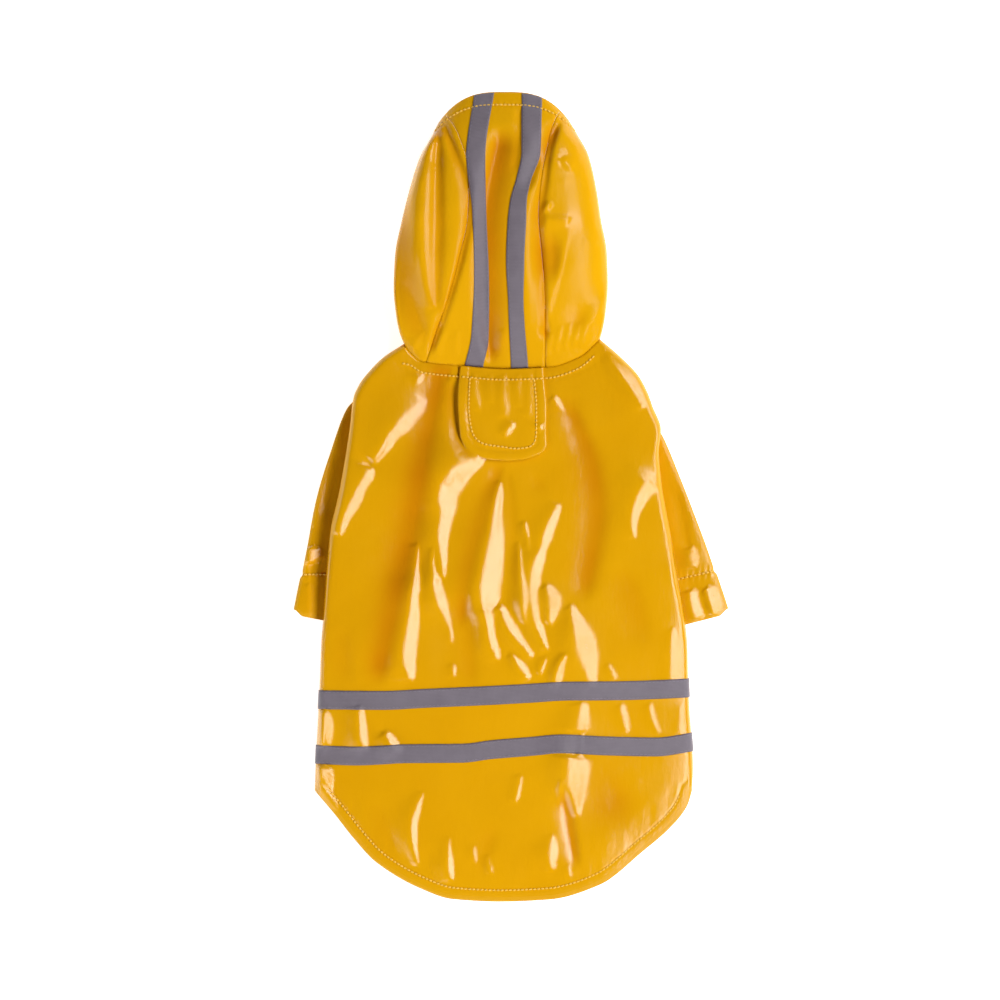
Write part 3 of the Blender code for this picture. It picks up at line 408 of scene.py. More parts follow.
def back_form(across, along):
    """Outer face of the back panel without its creases, along 0 at the neck to 1 at the hem."""
    left_y, left = back_side(BACK_LEFT, along)
    right_y, right = back_side(BACK_RIGHT, along)
    crown = track(BACK_CROWN, "height", along)
    x, z = section(across, left, right, crown, arch(across, *BACK_ARCH))
    share = (np.clip(across, -1, 1) + 1) / 2
    seam_y = neck_y(blend(NECK_SEAM[0].x, NECK_SEAM[-1].x, share))
    hem_y = track(TAIL_HEM, "y", blend(TAIL_HEM[0].x, TAIL_HEM[-1].x, share), by="x")
    y = np.where(across < -1, left_y, np.where(across > 1, right_y, blend(seam_y, hem_y, along)))
    y = y + throat_shift(x, across, along) - SEAM_HALF
    settle = HEM_SETTLE * ease((along - 0.9) / 0.1) * (1 - np.clip(across, -1, 1) ** 4)
    return x, y, z - settle


hem_line = smooth_line(TAIL_HEM, 3.0)
FAR = 99.0                       # stands for the distance of the underside from the hem


def back_point(across, along):
    """Outer face of the back panel with its creases, seam groove and turned hem."""
    x, y, z = back_form(across, along)
    top = ease((1.0 - np.abs(across)) / 0.03)
    waves = 0.24 * ripple(x, y, 48, 5) + 0.025 * ripple(x, y, 14, 6)
    waves = waves + 0.12 * ripple(x, y * 0.3, 8, 7) * ease((along - 0.86) / 0.1)
    seam = along * BACK_LENGTH
    hem = np.where(np.abs(across) > 1, FAR, np.abs(beside(x, y, hem_line)))
    folds = relief(BACK_CREASES, BACK_TROUGHS, x, y) + waves
    z = z + folds * top * ease(seam / 10) * blend(0.35, 1.0, ease(hem / 16))
    sewn = (np.abs(across) < 1) * (
        -SEAM_DIP * bell(seam, SEAM_DIP_WIDTH) - 0.2 * bell(seam - NECK_STITCH, 1.0)
        + turned_hem(hem, HEM_DEPTH, 0.16, 0.2)
        + 0.05 * np.sin(x * 1.9 + 0.6 * np.sin(x * 0.37)) * bell(hem - HEM_DEPTH, 3.0)
        + 0.07 * np.sin(x * 1.6) * bell(seam - 5.0, 3.0))
    return x, y, np.where(np.abs(across) > 1, z, np.maximum(z + sewn, LOWEST_TOP))


def back_place(x, y):
    """Across and along of the top of the back panel at (x, y)."""
    across, along = x / 100, np.full_like(x, 0.3)
    for _ in range(30):
        _, left = back_side(BACK_LEFT, along)
        _, right = back_side(BACK_RIGHT, along)
        across = np.clip(2 * (x - left["edge"]) / (right["edge"] - left["edge"]) - 1, -1, 1)
        _, top, _ = back_form(across, np.zeros_like(x))
        _, bottom, _ = back_form(across, np.ones_like(x))
        along = np.clip((top - y) / (top - bottom), 0, 1)
    return across, along


class Wire:
    """A socket of a material. Sums and products of it add Math nodes to the material."""

    def __init__(self, tree, socket=None):
        self.tree, self.socket = tree, socket

    def node(self, kind, sockets, output=0, **settings):
        """Adds a node: its settings come first, then the values or links of its sockets."""
        made = self.tree.nodes.new(kind)
        for name, value in settings.items():
            setattr(made, name, value)
        for key, value in sockets.items():
            if isinstance(value, Wire):
                self.tree.links.new(value.socket, made.inputs[key])
            else:
                made.inputs[key].default_value = value
        return Wire(self.tree, made.outputs[output])

    def maths(self, operation, *values):
        return self.node("ShaderNodeMath", dict(enumerate(values)), operation=operation)

    def __add__(self, other):
        return self.maths("ADD", self, other)

    def __mul__(self, other):
        return self.maths("MULTIPLY", self, other)

    def __sub__(self, other):
        return self.maths("SUBTRACT", self, other)

    def __rsub__(self, other):
        return self.maths("SUBTRACT", other, self)

    __radd__ = __add__
    __rmul__ = __mul__

    def mix(self, low, high):
        """Colour between low and high by this value."""
        sockets = {0: self, 6: low, 7: high}
        return self.node("ShaderNodeMix", sockets, output=2, data_type="RGBA")

    def noise(self, scale, detail, **more):
        """Noise at the place that this wire gives."""
        sockets = {"Vector": self, "Scale": scale, "Detail": detail, **more}
        return self.node("ShaderNodeTexNoise", sockets)

    def bump(self, strength, distance):
        """Normal of a surface that has this wire as its height."""
        sockets = {"Height": self, "Strength": strength, "Distance": distance}
        return self.node("ShaderNodeBump", sockets, output="Normal")


def new_finish(name, colour, roughness, coat=0.0):
    """A Principled material, its shader and a wire that gives the place on the piece."""
    material = bpy.data.materials.new(name)
    material.use_nodes = True
    material.diffuse_color = (*colour, 1.0)
    shader = material.node_tree.nodes["Principled BSDF"]
    shader.inputs["Base Color"].default_value = (*colour, 1.0)
    shader.inputs["Roughness"].default_value = roughness
    shader.inputs["Coat Weight"].default_value = coat
    shader.inputs["Coat Roughness"].default_value = 0.08
    place = Wire(material.node_tree).node("ShaderNodeTexCoord", {}, output="Object")
    return material, shader, place


def feed(shader, **inputs):
    """Links wires to sockets of the shader, whose names have _ for a space."""
    for name, wire in inputs.items():
        wire.tree.links.new(wire.socket, shader.inputs[name.replace("_", " ")])


def thread_lines(wire, *scales, distortion=0.0):
    """The threads of a weave, one way and the other, along the piece's own cloth."""
    cloth = wire.node("ShaderNodeTexCoord", {}, output="UV")
    return [wire.node("ShaderNodeTexWave",
                      {"Vector": cloth, "Scale": scale, "Distortion": distortion},
                      wave_type="BANDS", bands_direction=way)
            for way, scale in zip("XY", scales)]


def make_glossy_cloth(name, specular, coat, wear):
    """Wet-look polyurethane film over woven cloth: deep yellow, with small film wrinkles.

    coat is the share of clear gloss on top, and wear how much rougher the film gets where
    it has worn. A mark of painted shade darkens the colour to deep orange in the folds.
    """
    material, shader, place = new_finish(name, (0.72, 0.345, 0.002), 0.14, coat=0.5)
    shader.inputs["Specular IOR Level"].default_value = specular
    mottle, smear = place.noise(24.0, 4.0), place.noise(90.0, 3.0, Distortion=0.6)
    worn, painted_shade = [place.node("ShaderNodeAttribute", {}, output="Fac", attribute_name=mark)
                    for mark in ("worn", "painted_shade")]
    body = mottle.mix((0.685, 0.315, 0.0008, 1), (0.765, 0.38, 0.0018, 1))
    # Painted shade: deep orange mixed into the colour where the cloth lies deep in a fold.
    body_painted_shade = painted_shade.mix(body, (0.54, 0.14, 0.0004, 1))
    colour = (worn * 0.3).mix(body_painted_shade, (0.76, 0.40, 0.006, 1))
    film = place.noise(260.0, 2.0)
    drawn = place.node("ShaderNodeMapping", {"Vector": place, "Scale": (1.0, 0.3, 1.0)},
                       output="Vector")
    streaks = drawn.noise(420.0, 2.0)
    facets = place.node("ShaderNodeTexVoronoi",
                        {"Vector": place, "Scale": 70.0, "Smoothness": 0.6}, feature="SMOOTH_F1")
    warp, weft = thread_lines(place, 800.0, 800.0)
    height = film * 0.25 + streaks * 0.45 + facets * 0.5 + (warp + weft) * 0.03
    feed(shader, Base_Color=colour, Roughness=0.10 + smear * 0.10 + worn * wear,
         Coat_Weight=coat - worn * coat, Normal=height.bump(0.5, 0.0005))
    return material


def make_cloth_backing():
    """Uncoated inner side of the same cloth: a plain weave, dull and a little paler."""
    material, shader, place = new_finish("coated_cloth_backing", (0.60, 0.31, 0.03), 0.85)
    mottle = place.noise(60.0, 3.0)
    warp, weft = thread_lines(place, 450.0, 450.0)
    weave = warp * weft
    colour = (mottle * 0.5 + weave * 0.5).mix((0.50, 0.235, 0.018, 1), (0.68, 0.36, 0.045, 1))
    feed(shader, Base_Color=colour, Normal=weave.bump(0.5, 0.0002))
    return material


glossy_cloth = make_glossy_cloth("coated_cloth_face", 0.5, 0.16, 0.24)
cloth_backing = make_cloth_backing()


def moved_out(point, across, along, distance):
    """Point of a surface moved out along its normal."""
    step = 2e-3
    over = np.array(point(across + step, along)) - np.array(point(across - step, along))
    on = np.array(point(across, along + step)) - np.array(point(across, along - step))
    normal = np.cross(on, over, axis=0)
    upward = np.sign(normal[2][np.abs(across) <= 1].mean())
    normal *= distance * upward / np.linalg.norm(normal, axis=0)
    return np.array(point(across, along)) + normal


def grid_of(mesh, columns, rows, place, uv_size, worn, painted_shade):
    """Adds a grid of cloth to a mesh, with each corner at place(column, row)."""
    wide, long = len(columns) - 1, len(rows) - 1
    made = bmesh.ops.create_grid(mesh, x_segments=wide, y_segments=long, size=1, calc_uvs=True)
    points = np.array([vert.co for vert in made["verts"]])
    column = np.asarray(columns)[np.rint((points[:, 0] + 1) / 2 * wide).astype(int)]
    row = np.asarray(rows)[np.rint((points[:, 1] + 1) / 2 * long).astype(int)]
    placed = np.array(place(column, row)).T * MM
    marks = [(mesh.verts.layers.float[name], mark(column, row))
             for name, mark in (("worn", worn), ("painted_shade", painted_shade)) if mark]
    for i, vert in enumerate(made["verts"]):
        vert.co = placed[i]
        for layer, values in marks:
            vert[layer] = values[i]
    cloth = mesh.loops.layers.uv["cloth"]
    for face in {face for vert in made["verts"] for face in vert.link_faces}:
        for loop in face.loops:
            loop[cloth].uv = loop[cloth].uv * Vector(uv_size) * MM
    return made["verts"]


def mesh_object(name, mesh, *materials):
    """A smooth object from a bmesh, with its materials."""
    data = bpy.data.meshes.new(name)
    mesh.to_mesh(data)
    mesh.free()
    data.shade_smooth()
    for material in materials:
        data.materials.append(material)
    made = bpy.data.objects.new(name, data)
    bpy.context.scene.collection.objects.link(made)
    return made


def lay_cloth(name, node, columns, rows, place, size, face, backing,
              wall=CLOTH, closed=False, worn=None, painted_shade=None, inner_step=0):
    """A piece of cloth on a solid: place(column, row) gives its outer face, its wall goes in.

    size is the cloth's own width and length, which the weave follows. worn gives how much
    the film has dulled, and the shade mark gives painted shade, darkest deep in its folds.
    With an inner_step, the inner face is a grid of its own with that many cells taken
    together, bridged to the outer one.
    """
    mesh = bmesh.new()
    mesh.loops.layers.uv.new("cloth")
    for mark in ("worn", "painted_shade"):
        mesh.verts.layers.float.new(mark)
    grid_of(mesh, columns, rows, place, size, worn, painted_shade)
    if inner_step:
        outer_rim = [edge for edge in mesh.edges if edge.is_boundary]
        few = [np.append(line[:-1:inner_step], line[-1]) for line in (columns, rows)]
        inner = grid_of(mesh, *few, lambda column, row: moved_out(place, column, row, -wall),
                        size, None, None)
        inner_faces = list({face for vert in inner for face in vert.link_faces})
        bmesh.ops.reverse_faces(mesh, faces=inner_faces)
        for inner_face in inner_faces:
            inner_face.material_index = 1
        inner_edges = {edge for vert in inner for edge in vert.link_edges}
        inner_rim = [edge for edge in inner_edges if edge.is_boundary]
        bmesh.ops.bridge_loops(mesh, edges=outer_rim + inner_rim)
    if closed:
        bmesh.ops.remove_doubles(mesh, verts=mesh.verts, dist=0.01 * MM)
    piece = mesh_object(name, mesh, face, backing)
    if not inner_step:
        thick = piece.modifiers.new("wall", "SOLIDIFY")
        thick.thickness = wall * MM
        thick.offset = -1
        thick.material_offset = 1
        thick.material_offset_rim = 0
    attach(piece, "root")
    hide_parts(node)
    return piece


def crowded(cells):
    """Columns of the top of a flattened tube, closer together near the side folds."""
    even = np.linspace(-1, 1, cells + 1)
    return blend(even, np.sin(even * np.pi / 2), 0.35)


def under_columns(turn, under):
    """Columns of the side turn, from 1 to 2, and of the underside, from 2 to 3."""
    return np.concatenate((np.linspace(1, 2, turn + 1)[1:], np.linspace(2, 3, under + 1)[1:]))


def patches(x, y, rows):
    """Soft oval patches: a row gives the middle x and y, width, length and strength."""
    return sum(strength * bell(np.hypot((x - mid_x) / wide, (y - mid_y) / long), 1)
               for mid_x, mid_y, wide, long, strength in rows)


BACK_DULL = [
    (42, -87, 9, 23, 0.45), (24, -60, 7, 11, 0.6), (9, -57, 5, 20, 0.6), (-41, -84, 7, 20, 0.4),
    (45, -134, 9, 12, 0.5), (36, -166, 9, 22, 0.5), (-107, -155, 6, 12, 0.4),
    (-104, -128, 6, 12, 0.4),
]
# The back's painted shade is full in a trough this deep.
BACK_SHADE_DEPTH = 2.4                  # depth of a trough that shades the cloth fully


def back_worn(across, along):
    """Where the film of the back has dulled: hem, shoulders' side folds and a few patches."""
    x, y, _ = back_form(across, along)
    hem = bell(beside(x, y, hem_line), 3.0)
    side = 1.8 * ease((np.abs(across) - 0.97) / 0.015) * ease((0.5 - along) / 0.1)
    dull = np.maximum(np.maximum(hem, side), patches(x, y, BACK_DULL))
    return dull * (np.abs(across) < 1.2)


def back_painted_shade(across, along):
    """Painted shade: how much the colour darkens, by how deep in its troughs the cloth lies."""
    x, y, _ = back_form(across, along)
    depth = np.clip(relief([], BACK_TROUGHS, x, y) / -BACK_SHADE_DEPTH, 0, 1)
    return 0.75 * depth ** 1.5 * (np.abs(across) < 1)


beyond = under_columns(5, 9)
back_panel = lay_cloth(
    "coat_back", "back_panel", np.concatenate((-beyond[::-1], crowded(210), beyond)),
    np.linspace(1, 0, 301), back_point, (300, 300), glossy_cloth, cloth_backing,
    worn=back_worn, painted_shade=back_painted_shade, inner_step=2)


def make_thread(name, colour):
    """Spun polyester sewing thread, with its twist."""
    material, shader, place = new_finish(name, colour, 0.5)
    twist = place.noise(2500.0, 1.0)
    low, high = tuple(0.8 * c for c in colour), tuple(min(1, 1.15 * c) for c in colour)
    feed(shader, Base_Color=twist.mix((*low, 1), (*high, 1)), Normal=twist.bump(0.4, 0.0001))
    return material


yellow_thread = make_thread("yellow_thread", (0.88, 0.52, 0.06))


def sew(mesh, line, pitch=2.3, thick=1.15, sink=0.3):
    """Topstitching along a line of points on the cloth, one rounded stitch at a time."""
    line = np.asarray(line, float)
    reach = np.concatenate(([0], np.cumsum(np.linalg.norm(np.diff(line, axis=0), axis=1))))
    ends = np.linspace(0, reach[-1], max(2, int(round(reach[-1] / pitch)) + 1))
    spots = np.array([np.interp(ends, reach, line[:, i]) for i in range(3)]).T
    for start, end in zip(spots[:-1], spots[1:]):
        way = Vector(end - start)
        turn = way.to_track_quat("X", "Z").to_matrix().to_4x4()
        middle = Vector((start + end) / 2) + Vector((0, 0, thick * 0.5 - sink))
        shape = Matrix.Diagonal((way.length * 0.46, thick * 0.5, thick * 0.34, 1))
        place = Matrix.Scale(MM, 4) @ Matrix.Translation(middle) @ turn @ shape
        bmesh.ops.create_uvsphere(mesh, u_segments=6, v_segments=5, radius=1, matrix=place)


def thread_piece(name, mesh, material=yellow_thread):
    """The stitches of a mesh as a piece of their own."""
    piece = mesh_object(name, mesh, material)
    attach(piece, "root")
    return piece


def inset(line, distance):
    """The line moved to its left by a distance, in the plane."""
    way = np.gradient(line[:, :2], axis=0)
    way /= np.linalg.norm(way, axis=1)[:, None]
    return line[:, :2] + np.stack((-way[:, 1], way[:, 0]), 1) * distance


def on_back(points):
    """Points of the outer face of the back panel above (x, y)."""
    return np.array(back_point(*back_place(points[:, 0], points[:, 1]))).T


def below_neck(first, last, count):
    """The row of topstitching below the neck seam, from one x to another."""
    x = np.linspace(first, last, count)
    return np.stack((x, neck_y(x) - NECK_STITCH), 1)


stitches = bmesh.new()
sew(stitches, on_back(inset(smooth_line(TAIL_HEM, 1.5), HEM_DEPTH)[3:-3]))
sew(stitches, on_back(below_neck(-57, 47, 90)))
thread_piece("stitching_back", stitches)

# ---- Reflective tapes of the back ------------------------------------------------------
# Two grey reflective tapes, woven and 10.6 mm wide, sewn flat across the lower back from
# side fold to side fold with a row of fine stitches along each edge.
TAPE_WIDTH = 10.6
TAPE_WALL = 0.3
TAPE_RISE = 0.42        # from the cloth to the outer face of the tape
TAPE_SEAM = 0.8         # place of its stitches, from 0 in the middle to 1 at an edge
TAPE_END = 1.45         # the ends turn this far round the side folds
TAPE_UPPER = [
    Point(-110, -114.3), Point(-73, -114.5), Point(-46, -113.2), Point(-17, -111.9),
    Point(11, -110.4), Point(31, -109.2), Point(62, -109.0), Point(103, -107.5),
]
TAPE_LOWER = [
    Point(-110, -145.3), Point(-88, -146.0), Point(-58, -144.6), Point(-27, -144.3),
    Point(-11, -142.3), Point(12, -140.4), Point(29, -139.0), Point(51, -140.1),
    Point(82, -140.9), Point(103, -138.1),
]


def back_along(across, line_y):
    """Place along the back panel where its column `across` meets the line y = line_y(x)."""
    column, along = np.clip(across, -1, 1), np.full_like(across, 0.6)
    for _ in range(8):
        x, _, _ = back_form(column, along)
        _, top, _ = back_form(column, np.zeros_like(across))
        _, bottom, _ = back_form(column, np.ones_like(across))
        along = (top - line_y(x)) / (top - bottom)
    return along


def make_woven_tape():
    """Grey reflective tape: a fine rib weave across, with darker and paler threads."""
    material, shader, place = new_finish("woven_tape", (0.185, 0.158, 0.19), 0.5)
    ribs, lines = thread_lines(place, 520.0, 420.0, distortion=0.4)
    dirt = place.noise(160.0, 5.0)
    weave = ribs * 0.5 + lines * 0.5
    colour = (weave * 0.45 + dirt * 0.55).mix((0.118, 0.099, 0.122, 1), (0.208, 0.177, 0.212, 1))
    feed(shader, Base_Color=colour, Roughness=0.42 + dirt * 0.2,
         Normal=(weave + dirt * 0.4).bump(0.55, 0.00018))
    return material


woven_tape = make_woven_tape()
grey_thread = make_thread("grey_thread", (0.27, 0.235, 0.28))


def lay_tape(name, node, columns, rows, point, size, seams):
    """A tape with its two rows of stitches along the lines of points in seams."""
    tape = lay_cloth(name, node, columns, rows, point, size, woven_tape, woven_tape,
                     wall=TAPE_WALL)
    mesh = bmesh.new()
    for line in seams:
        sew(mesh, line.T, thick=0.26, sink=0.04)
    seam = thread_piece(name + "_stitching", mesh, grey_thread)


def lay_back_tape(name, node, line):
    def tape_point(across, edge):
        along = back_along(
            across, lambda x: track(line, "y", x, by="x") + edge * TAPE_WIDTH / 2)
        return moved_out(back_point, across, along, TAPE_RISE)

    ends = np.linspace(1, TAPE_END, 5)[1:]
    across = crowded(320)[3:-3]
    lay_tape(name, node, np.concatenate((-ends[::-1], crowded(200), ends)),
             np.linspace(-1, 1, 11), tape_point, (230, TAPE_WIDTH),
             [tape_point(across, np.full_like(across, edge)) for edge in (-TAPE_SEAM, TAPE_SEAM)])


lay_back_tape("tape_upper", "tape_back_upper", TAPE_UPPER)
lay_back_tape("tape_lower", "tape_back_lower", TAPE_LOWER)

# ---- Belly panel -----------------------------------------------------------------------
# The under side of the body, one piece of the same cloth between the side seams. It lies
# flat on the floor, and its lower edge is cut up between the hind legs and hemmed.
BELLY_LAST = 29 / 30    # where it ends, as a share of the side seams
ARMHOLE_GAP = 1.2       # between the belly panel and the sleeve
SHOULDER = 16.0         # how far above the sleeve the armhole reaches
# How far the hem is cut up in the middle, and the powers of its curve across and along.
BELLY_HEM_RISE, BELLY_HEM_POWER, BELLY_HEM_EASE = 62.0, 2.2, 3
# Outer and inner end of the root of each sleeve.
ROOT_LEFT, ROOT_RIGHT = ((-80.5, 60.0), (-66.0, -2.0)), ((75.5, 51.0), (60.5, -4.0))


def belly_edge(rows, root, along):
    """Side edge of the belly panel: beside the wrapped back, or the root of the sleeve."""
    (outer_x, outer_y), (inner_x, inner_y) = root
    y, side = back_side(rows, along)
    inward = -np.sign(rows[0].edge)
    armhole = (y > inner_y) & (y < outer_y + SHOULDER)
    root_x = blend(inner_x, outer_x, (y - inner_y) / (outer_y - inner_y))
    beside_root = inward * np.maximum(inward * side["seam_x"], inward * root_x)
    edge = np.where(armhole & (y < outer_y), beside_root, side["seam_x"])
    return y, edge + inward * np.where(armhole, ARMHOLE_GAP, SEAM_HALF * 2)


def belly_point(across, along):
    left_y, left_x = belly_edge(BACK_LEFT, ROOT_LEFT, along)
    right_y, right_x = belly_edge(BACK_RIGHT, ROOT_RIGHT, along)
    share = (across + 1) / 2
    x = blend(left_x, right_x, share)
    top = [belly_edge(rows, root, np.zeros_like(along))[1]
           for rows, root in ((BACK_LEFT, ROOT_LEFT), (BACK_RIGHT, ROOT_RIGHT))]
    top_x = blend(*top, share)
    rise = BELLY_HEM_RISE * (1 - np.abs(across) ** BELLY_HEM_POWER)
    rise = rise * (along / BELLY_LAST) ** BELLY_HEM_EASE
    first, last = NECK_SEAM[0], NECK_SEAM[-1]
    throat = blend(first.y, last.y, (top_x - first.x) / (last.x - first.x))
    shift = (throat - blend(first.y, last.y, share)) * (1 - along) ** 8
    return x, blend(left_y, right_y, share) + shift + rise - SEAM_HALF, np.zeros_like(x)


belly = lay_cloth("coat_belly", "belly_panel", np.linspace(1, -1, 61),
                  np.linspace(BELLY_LAST, 0, 91), belly_point, (170, 220), glossy_cloth,
                  cloth_backing)

# ---- Sleeves ---------------------------------------------------------------------------
# Two short sleeves of the same cloth, each a tube with its seam underneath, set into an
# armhole between belly and back. They lie flattened on the floor and come out from under
# the sides. The hem is turned up 21 mm and held by one row of topstitching.
Sleeve = namedtuple("Sleeve", "outer_x outer_y inner_x inner_y height")
SLEEVE_LEFT = [
    Sleeve(-80.5, 60.0, -66.0, -2.0, 5.2), Sleeve(-91.7, 51.5, -67.0, -12.0, 6.0),
    Sleeve(-102.4, 24.3, -68.0, -26.0, 6.8), Sleeve(-110.4, -2.8, -69.0, -41.0, 7.5),
    Sleeve(-115.5, -30.0, -70.0, -56.0, 8.1), Sleeve(-122.3, -66.5, -72.0, -76.5, 8.6),
]
SLEEVE_RIGHT = [
    Sleeve(75.5, 51.0, 60.5, -4.0, 5.2), Sleeve(85.4, 35.1, 62.0, -13.0, 6.0),
    Sleeve(95.7, 10.8, 64.0, -27.0, 6.8), Sleeve(103.6, -9.6, 66.0, -43.0, 7.5),
    Sleeve(112.2, -33.0, 68.5, -58.0, 8.1), Sleeve(122.3, -66.0, 71.2, -79.0, 8.6),
]
SLEEVE_SQUARE = 7.0     # superellipse power of the flattened section
SLEEVE_CORNER = 3.0     # rounding of the hem's outer corner
SLEEVE_LENGTH = 120.0   # along the cloth, about
SLEEVE_SPAN = 190.0     # well over its length, so that the search for its stitches settles
SLEEVE_DULL = [(104, -36, 8, 7, 0.55)]
# Topstitching of the turned-up hem: its height at x = 0 and its slant.
CuffLine = namedtuple("CuffLine", "y slant")
CUFF_LEFT, CUFF_RIGHT = CuffLine(-42.6, 0.01), CuffLine(-68.0, 0.229)
SLEEVE_LEFT_CREASES = [
    Crease([(-111, -27, 5, 0.39), (-110.5, -32, 9, 0.39), (-109, -37, 7, 0.39)], 0.9),
    Crease([(-103, 22, 3, 0.2), (-107, 2, 4, 0.2), (-109, -18, 3, 0.2)], 1.8),
    Crease([(-113, -48, 3, 0.16), (-112, -58, 4, 0.16), (-113, -68, 3, 0.16)], 1.6),
]
SLEEVE_RIGHT_CREASES = [
    Crease([(103, -27, 2, 0.25), (103.5, -34, 6, 0.25), (105, -40, 2, 0.25)], 1.4, (1, 0.2)),
    Crease([(103.5, -51, 4, 0.31), (104.5, -57, 8, 0.31), (106, -63, 8, 0.31),
        (108, -69, 6, 0.31)], 0.9),
    Crease([(111.5, -49, 3, 0.31), (113.5, -54, 6.5, 0.31), (115.5, -60, 6.5, 0.31),
        (117.5, -67, 5, 0.31)], 0.5),
]
SLEEVE_TROUGHS = [
    Trough([(-99, 30, 3), (-101, 8, 4), (-104, -14, 3)], -0.6),
    Trough([(92, 6, 3), (97, -14, 4), (100, -34, 3)], -0.6),
]


def turn_at(swing):
    """Turn of the section where it has swung so far, from -1 (inner) to 1 (outer)."""
    return np.arccos(np.sign(swing) * np.abs(swing) ** (SLEEVE_SQUARE / 2))


def square_round(wave):
    """A sine or cosine made squarer, so that they draw a flattened tube."""
    return np.sign(wave) * np.abs(wave) ** (2 / SLEEVE_SQUARE)


def lay_sleeve(name, node, stations, cuff, creases):
    place = np.linspace(0, 1, len(stations))
    right = stations[0].outer_x > 0

    def below_cuff(x, y):
        """Distance below the topstitching of the hem, in y."""
        return cuff.y + cuff.slant * x - y

    def sleeve_point(turn, along):
        at = {field: through(along, place, [getattr(row, field) for row in stations])
              for field in Sleeve._fields}
        swing, lift = square_round(np.cos(turn)), square_round(np.sin(turn))
        x = blend(at["inner_x"], at["outer_x"], (swing + 1) / 2)
        y = blend(at["inner_y"], at["outer_y"], (swing + 1) / 2)
        y = y + SLEEVE_CORNER * ease((along - 0.8) / 0.2) * ease((swing - 0.8) / 0.2)
        below = below_cuff(x, y) / np.hypot(1, cuff.slant)
        upper = np.clip(lift, 0, 1) ** 0.5
        folds = relief(creases, SLEEVE_TROUGHS, x, y) + 0.15 * ripple(x, y, 22, 9)
        turned = (0.3 * ease(below / 1.2) - 0.12 * bell(below, 1.3)
                  + 0.12 * np.sin(x * 1.8) * bell(below, 3.5))
        out = np.sign(swing) * (0.5 * ease(below / 2.0) - 0.5 * bell(below, 1.6))
        out = out * np.abs(swing) ** 8
        x = x + (out if right else -out)
        return x, y, at["height"] / 2 * (1 + lift) + (folds + turned) * upper

    def sleeve_worn(turn, along):
        x, y, _ = sleeve_point(turn, along)
        hem = bell((1 - along) * SLEEVE_LENGTH, 2.0)
        outer = 1.4 * ease((np.cos(turn) - 0.70) / 0.2)
        return np.maximum(np.maximum(hem, patches(np.abs(x), y, SLEEVE_DULL)), outer)

    def sleeve_painted_shade(turn, along):
        """Painted shade on the coat's left sleeve, darker close beside the body."""
        x, _, _ = sleeve_point(turn, along)
        return np.zeros_like(x) if right else 0.12 * ease((x + 116) / 14)

    upper_side = np.sin(np.linspace(np.pi / 2, -np.pi / 2, 91))
    under_side = np.sin(np.linspace(-np.pi / 2, np.pi / 2, 31))[1:]
    columns = np.concatenate((turn_at(upper_side), 2 * np.pi - turn_at(under_side)))
    if right:
        columns = columns[::-1]
    rows = np.concatenate((np.linspace(1, 0.7, 131), np.linspace(0.7, 0, 71)[1:]))
    sleeve = lay_cloth(name, node, columns, rows, sleeve_point, (110, 110), glossy_cloth,
                       cloth_backing, closed=True, worn=sleeve_worn, painted_shade=sleeve_painted_shade)
    mesh = bmesh.new()
    # The row of stitches is followed round the visible upper side.
    turn = turn_at(np.linspace(0.97, 0.1, 80))
    along = np.full_like(turn, 0.86)
    for _ in range(12):
        x, y, _ = sleeve_point(turn, along)
        along = np.clip(along - below_cuff(x, y) / SLEEVE_SPAN, 0.6, 0.99)
    sew(mesh, np.array(sleeve_point(turn, along)).T)
    seam = thread_piece(name + "_stitching", mesh)


lay_sleeve("coat_sleeve_left", "sleeve_left", SLEEVE_LEFT, CUFF_LEFT, SLEEVE_LEFT_CREASES)
lay_sleeve("coat_sleeve_right", "sleeve_right", SLEEVE_RIGHT, CUFF_RIGHT, SLEEVE_RIGHT_CREASES)

# ---- Hood ------------------------------------------------------------------------------
# Three pieces of the same cloth: a centre strip that runs over the head from the neck to
# the brim, and a side piece on each side, seamed to it. The sides wrap under to the face
# opening, and the brim is turned in and topstitched.

# along 0 is the neck seam and 1 the brim. left and right: the outline. seam_l and seam_r:
# the seams of the strip. turn: reach of the side turn. hem_l, hem_r: the face opening.
Hood = namedtuple("Hood", "along left seam_l seam_r right crown fold turn hem_l hem_r")
HOOD = [
    Hood(0.00, -60.6, -48.1, 19.2, 50.4, 13.5, 6.0, 3.4, -5.3, -4.7),
    Hood(0.05, -63.0, -45.6, 19.2, 52.0, 16.0, 7.4, 6.0, -14.0, 3.0),
    Hood(0.12, -64.8, -42.2, 19.2, 53.5, 20.0, 9.0, 8.0, -27.0, 16.0),
    Hood(0.25, -66.2, -35.1, 19.0, 54.7, 26.0, 11.0, 9.5, -41.0, 30.0),
    Hood(0.40, -65.4, -28.9, 17.3, 54.1, 29.5, 12.0, 10.0, -44.5, 34.0),
    Hood(0.55, -61.8, -24.3, 15.3, 50.9, 30.0, 12.0, 10.0, -43.5, 33.0),
    Hood(0.70, -57.2, -23.8, 17.3, 48.1, 27.5, 11.0, 9.0, -41.0, 31.5),
    Hood(0.85, -51.3, -29.5, 21.8, 43.9, 21.0, 8.2, 7.0, -38.5, 30.5),
    Hood(0.95, -44.6, -35.2, 25.8, 37.6, 13.5, 5.2, 4.0, -36.8, 29.6),
    Hood(1.00, -41.3, -37.5, 28.4, 34.0, 9.0, 3.6, 2.6, -36.0, 28.0),
]
BRIM_SIDE_Y = 211.0              # the brim at its two ends
BRIM_BOW, BRIM_BOW_POWER = 17.6, 3.0    # how far its middle bows out, and how square
BRIM_DEPTH = 7.2                 # from the edge of the brim to its topstitching
HOOD_LENGTH = 148.0
HOOD_ARCH = 3.2, 3.6, 0.50       # how square its top is left and right, away from the neck
